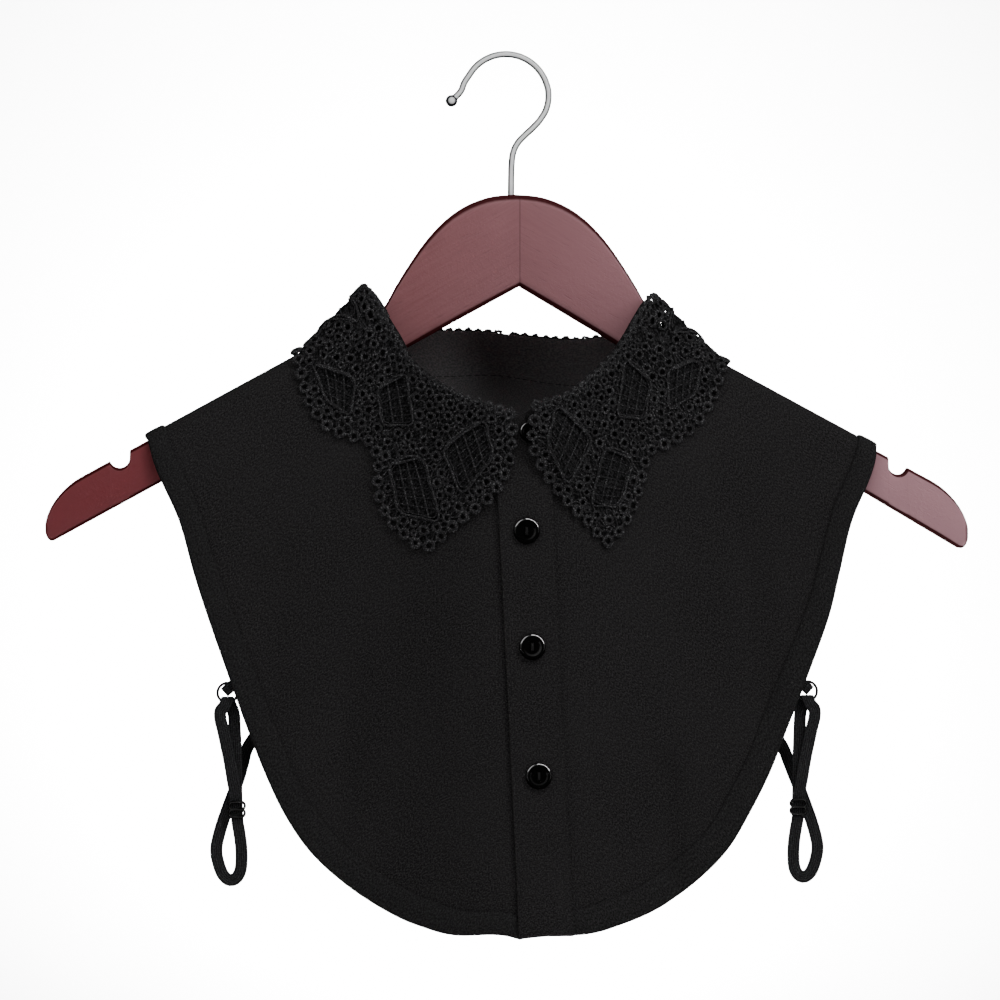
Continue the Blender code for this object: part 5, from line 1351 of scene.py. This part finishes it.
class COLLAR_OT_hanger(bpy.types.Operator):
    """Shape the wooden hanger along its arms, and bend its hook"""
    bl_idname = "collar.hanger"
    bl_label = "Hanger"

    def execute(self, context):
        self.wood(context.scene.collar_sizes.wood_edge)
        self.hook()
        return {"FINISHED"}

    def wood(self, edge):
        """Start from a thin slice at the left tip and extrude its end face from place to place."""
        bpy.ops.object.select_all(action="DESELECT")
        places = wood_places()
        spots = []
        for x in places:
            top, under = wood_top(x), wood_under(x)
            spots.append((x + MIDDLE_X, float(sweep_y(x)), (top + under) / 2, max(top - under, 0.0004)))
        x, y, z, tall = spots[0]
        bpy.ops.mesh.primitive_plane_add(size=1, location=(0, 0, 0), rotation=(0, math.pi / 2, 0))
        piece = bpy.context.active_object
        piece.name = "shaped_wood"
        piece.scale = (0.030, ARM_HALF_THICKNESS * 2, 1)
        bpy.ops.object.transform_apply(location=True, rotation=True, scale=True)
        bpy.ops.object.mode_set(mode="EDIT")
        bpy.ops.mesh.select_all(action="SELECT")
        bpy.ops.mesh.bevel(offset=edge, segments=5, affect="VERTICES")
        bpy.ops.transform.translate(value=(x, y, z))
        bpy.ops.transform.resize(value=(1, 1, tall / 0.030), center_override=(x, y, z))
        bpy.ops.mesh.select_mode(type="FACE")
        for before, after in zip(spots, spots[1:]):
            move = tuple(b - a for a, b in zip(before[:3], after[:3]))
            bpy.ops.mesh.extrude_region_move(TRANSFORM_OT_translate={"value": move})
            bpy.ops.transform.resize(value=(1, 1, after[3] / before[3]), center_override=after[:3])
        bpy.ops.mesh.select_all(action="SELECT")
        bpy.ops.mesh.normals_make_consistent(inside=False)
        bpy.ops.object.mode_set(mode="OBJECT")
        dress(piece, "wood", 38)
        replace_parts(piece, "hanger_wood")

    def hook(self):
        bpy.ops.object.select_all(action="DESELECT")
        route = list(HOOK_STEM)
        for degrees in range(6, 155, 12):
            angle = math.radians(degrees)
            route.append((BOW_RADIUS * math.cos(angle), BOW_CENTRE_Z + BOW_RADIUS * math.sin(angle)))
        route += list(HOOK_TIP)
        bpy.ops.curve.primitive_bezier_curve_add(location=(0, 0, 0))
        wire = bpy.context.active_object
        spline = wire.data.splines[0]
        spline.bezier_points.add(len(route) - 2)
        for point, (x, z) in zip(spline.bezier_points, route):
            point.co = (x, 0.0, z)
            point.handle_left_type = point.handle_right_type = "AUTO"
        wire.data.bevel_depth, wire.data.bevel_resolution, wire.data.resolution_u = WIRE_RADIUS, 5, 6
        wire.data.use_fill_caps = True
        bpy.ops.object.convert(target="MESH")
        piece = bpy.context.active_object
        x, z, radius = HOOK_BALL
        bpy.ops.mesh.primitive_uv_sphere_add(segments=24, ring_count=14, radius=radius, location=(x, 0, z))
        bpy.ops.object.transform_apply(location=True, rotation=True, scale=True)
        piece.select_set(True)
        bpy.context.view_layer.objects.active = piece
        bpy.ops.object.join()
        piece.name = "bent_hook"
        dress(piece, "wire", 50)
        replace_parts(piece, "hanger_hook")


BACKDROP_SPREAD = math.radians(70)


class COLLAR_OT_stage(bpy.types.Operator):
    """Set the pale sweep, the studio lights and the camera"""
    bl_idname = "collar.stage"
    bl_label = "Stage"

    def execute(self, context):
        scene, looks = context.scene, context.scene.collar_looks
        bpy.ops.object.select_all(action="DESELECT")
        bpy.ops.mesh.primitive_plane_add(size=7.0, location=(0, -0.5, -0.75))
        floor = bpy.context.active_object
        floor.name = "pale_sweep"
        bpy.ops.object.mode_set(mode="EDIT")
        bpy.ops.mesh.select_all(action="DESELECT")
        bpy.ops.mesh.select_mode(type="EDGE")
        mesh = bmesh.from_edit_mesh(floor.data)
        for edge in mesh.edges:
            edge.select = all(v.co.y > 3.0 for v in edge.verts)
        bmesh.update_edit_mesh(floor.data)
        bpy.ops.mesh.extrude_region_move(TRANSFORM_OT_translate={"value": (0, 0, 4.0)})
        bpy.ops.object.mode_set(mode="OBJECT")
        curve = floor.modifiers.new("curve", "BEVEL")
        curve.width, curve.segments = 1.2, 12
        bpy.ops.object.modifier_apply(modifier="curve")
        floor.data.shade_smooth()
        bpy.ops.object.transform_apply(location=True, rotation=True, scale=True)
        pale = Finish("pale_paper")
        grain = pale.noise(pale.place((1, 1, 1)), 3.0, 3.0)
        pale.set(Base_Color=pale.blend(grain, grey(0.90), grey(0.93)), Roughness=0.9)
        floor.data.materials.append(pale.material)
        world = bpy.data.worlds.new("studio")
        scene.world = world
        world.use_nodes = True
        world.node_tree.nodes["Background"].inputs["Color"].default_value = (1, 1, 1, 1)
        world.node_tree.nodes["Background"].inputs["Strength"].default_value = looks.room_light
        collar, ring = (0, 0, -0.25), []
        for number, clock in enumerate((4, 24, 44, 64)):
            out, up = math.sin(math.radians(clock)), math.cos(math.radians(clock))
            ring.append((f"key_{number}", (1.74 * out, -1.17, 1.74 * up - 0.25), collar, (0.55, 0.55),
                         looks.key_light / 4))
        for name, place, aim, size, power in (
                *ring, ("fill", (-1.35, -1.25, 0.90), collar, (1.5, 1.5), looks.key_light * 0.40),
                ("backdrop", (0.1, 0.9, 0.0), (0.2, 3.0, -0.3), (0.6, 0.6), looks.backdrop_light)):
            data = bpy.data.lights.new(name, "AREA")
            data.shape, data.energy, (data.size, data.size_y) = "RECTANGLE", power, size
            data.spread = BACKDROP_SPREAD if name == "backdrop" else math.pi
            lamp = bpy.data.objects.new(name, data)
            lamp.location = place
            lamp.rotation_euler = (Vector(aim) - Vector(place)).to_track_quat("-Z", "Y").to_euler()
            scene.collection.objects.link(lamp)
        data = bpy.data.cameras.new("camera")
        data.lens, data.sensor_width = 164.3, 36.0
        camera = bpy.data.objects.new("camera", data)
        aim, distance, azimuth = Vector((-0.0029, 0, -0.2133)), 2.2, math.radians(-4.0)
        camera.location = aim + Vector((math.sin(azimuth), -math.cos(azimuth), 0)) * distance
        camera.rotation_euler = (aim - camera.location).to_track_quat("-Z", "Y").to_euler()
        scene.collection.objects.link(camera)
        scene.camera = camera
        return {"FINISHED"}


def length_of(name, default, description, low, high):
    return bpy.props.FloatProperty(name=name, description=description, default=default, min=low, max=high,
                                   subtype="DISTANCE", unit="LENGTH", precision=4)


def colour_of(name, default, description):
    return bpy.props.FloatVectorProperty(name=name, description=description, default=default, size=3,
                                         subtype="COLOR", min=0.0, max=1.0)


class CollarSizes(bpy.types.PropertyGroup):
    """Sizes of the sewn and hard pieces."""
    cloth_step: length_of("Cloth facets", 0.0045, "Spacing of the points that the cloth is made from", 0.003, 0.02)
    ring_size: length_of("Edge ring size", 0.0060, "Outside diameter of the rings along the lace's edge", 0.004, 0.008)
    ring_pitch: length_of("Edge ring pitch", 0.0072, "Distance between those rings", 0.005, 0.012)
    ring_cord: length_of("Ring cord", 0.0018, "Thickness of the worked thread round each ring", 0.0006, 0.002)
    button_size: length_of("Button size", 0.0126, "Diameter of the front buttons", 0.008, 0.02)
    wood_edge: length_of("Wood edge", 0.0030, "Rounding of the hanger's edges", 0.001, 0.005)
    elastic_width: length_of("Elastic width", 0.0060, "Width of the side straps", 0.003, 0.01)


class CollarLooks(bpy.types.PropertyGroup):
    """Colours and lights."""
    cloth_colour: colour_of("Cloth", (0.0154, 0.0148, 0.0152), "Black of the cloth")
    binding_colour: colour_of("Binding", (0.0152, 0.0149, 0.0152), "Black of the binding")
    lace_colour: colour_of("Lace", (0.0390, 0.0386, 0.0400), "Black of the lace thread")
    wood_colour: colour_of("Wood", (0.215, 0.087, 0.094), "Red-brown stain of the hanger")
    wood_grain_colour: colour_of("Wood grain", (0.170, 0.060, 0.066), "Darker lines of the grain")
    # painted shade on the hanger's rounded edges
    wood_edge_shade_colour: colour_of("Wood edges", (0.036, 0.0045, 0.0055), "Dark red of the hanger's rounded edges")
    # painted reflection of a lamp in the lacquer toward the wearer's left
    wood_reflection_colour: colour_of("Worn wood", (0.374, 0.205, 0.228), "Greyed lacquer toward the wearer's left")
    # painted shade on the wearer's right arm
    wood_shade_colour: colour_of("Deep wood", (0.138, 0.0235, 0.0285), "Fresh lacquer on the wearer's right arm")
    key_light: bpy.props.FloatProperty(name="Key light", description="Power of the main lamp", default=34.5,
                                       min=0.0, max=500.0, unit="POWER")
    backdrop_light: bpy.props.FloatProperty(name="Backdrop light", description="Power of the lamp on the backdrop",
                                            default=165.0, min=0.0, max=2000.0, unit="POWER")
    room_light: bpy.props.FloatProperty(name="Room light", description="Strength of the even light all round",
                                        default=0.14, min=0.0, max=3.0)


OPERATORS = (COLLAR_OT_stage, COLLAR_OT_cloth, COLLAR_OT_binding, COLLAR_OT_placket, COLLAR_OT_stand,
             COLLAR_OT_lace, COLLAR_OT_buttons, COLLAR_OT_straps, COLLAR_OT_hanger)


class COLLAR_PT_panel(bpy.types.Panel):
    """Lists the collar's pieces, sizes and looks."""
    bl_label = "Lace collar"
    bl_idname = "COLLAR_PT_panel"
    bl_space_type = "VIEW_3D"
    bl_region_type = "UI"
    bl_category = "Collar"

    def draw(self, context):
        for group in (context.scene.collar_sizes, context.scene.collar_looks):
            for name in group.bl_rna.properties.keys():
                if name not in ("rna_type", "name"):
                    self.layout.prop(group, name)
        for operator in OPERATORS:
            self.layout.operator(operator.bl_idname)


CLASSES = (CollarSizes, CollarLooks, *OPERATORS, COLLAR_PT_panel)


def register():
    for made in CLASSES:
        bpy.utils.register_class(made)
    bpy.types.Scene.collar_sizes = bpy.props.PointerProperty(type=CollarSizes)
    bpy.types.Scene.collar_looks = bpy.props.PointerProperty(type=CollarLooks)


def unregister():
    del bpy.types.Scene.collar_looks
    del bpy.types.Scene.collar_sizes
    for made in reversed(CLASSES):
        bpy.utils.unregister_class(made)


def main():
    register()
    bpy.ops.object.select_all(action="DESELECT")
    bpy.ops.collar.stage()
    bpy.ops.collar.cloth()
    bpy.ops.collar.binding()
    bpy.ops.collar.placket()
    bpy.ops.collar.stand()
    bpy.ops.collar.lace()
    bpy.ops.collar.buttons()
    bpy.ops.collar.straps()
    bpy.ops.collar.hanger()


if __name__ == "__main__":
    main()
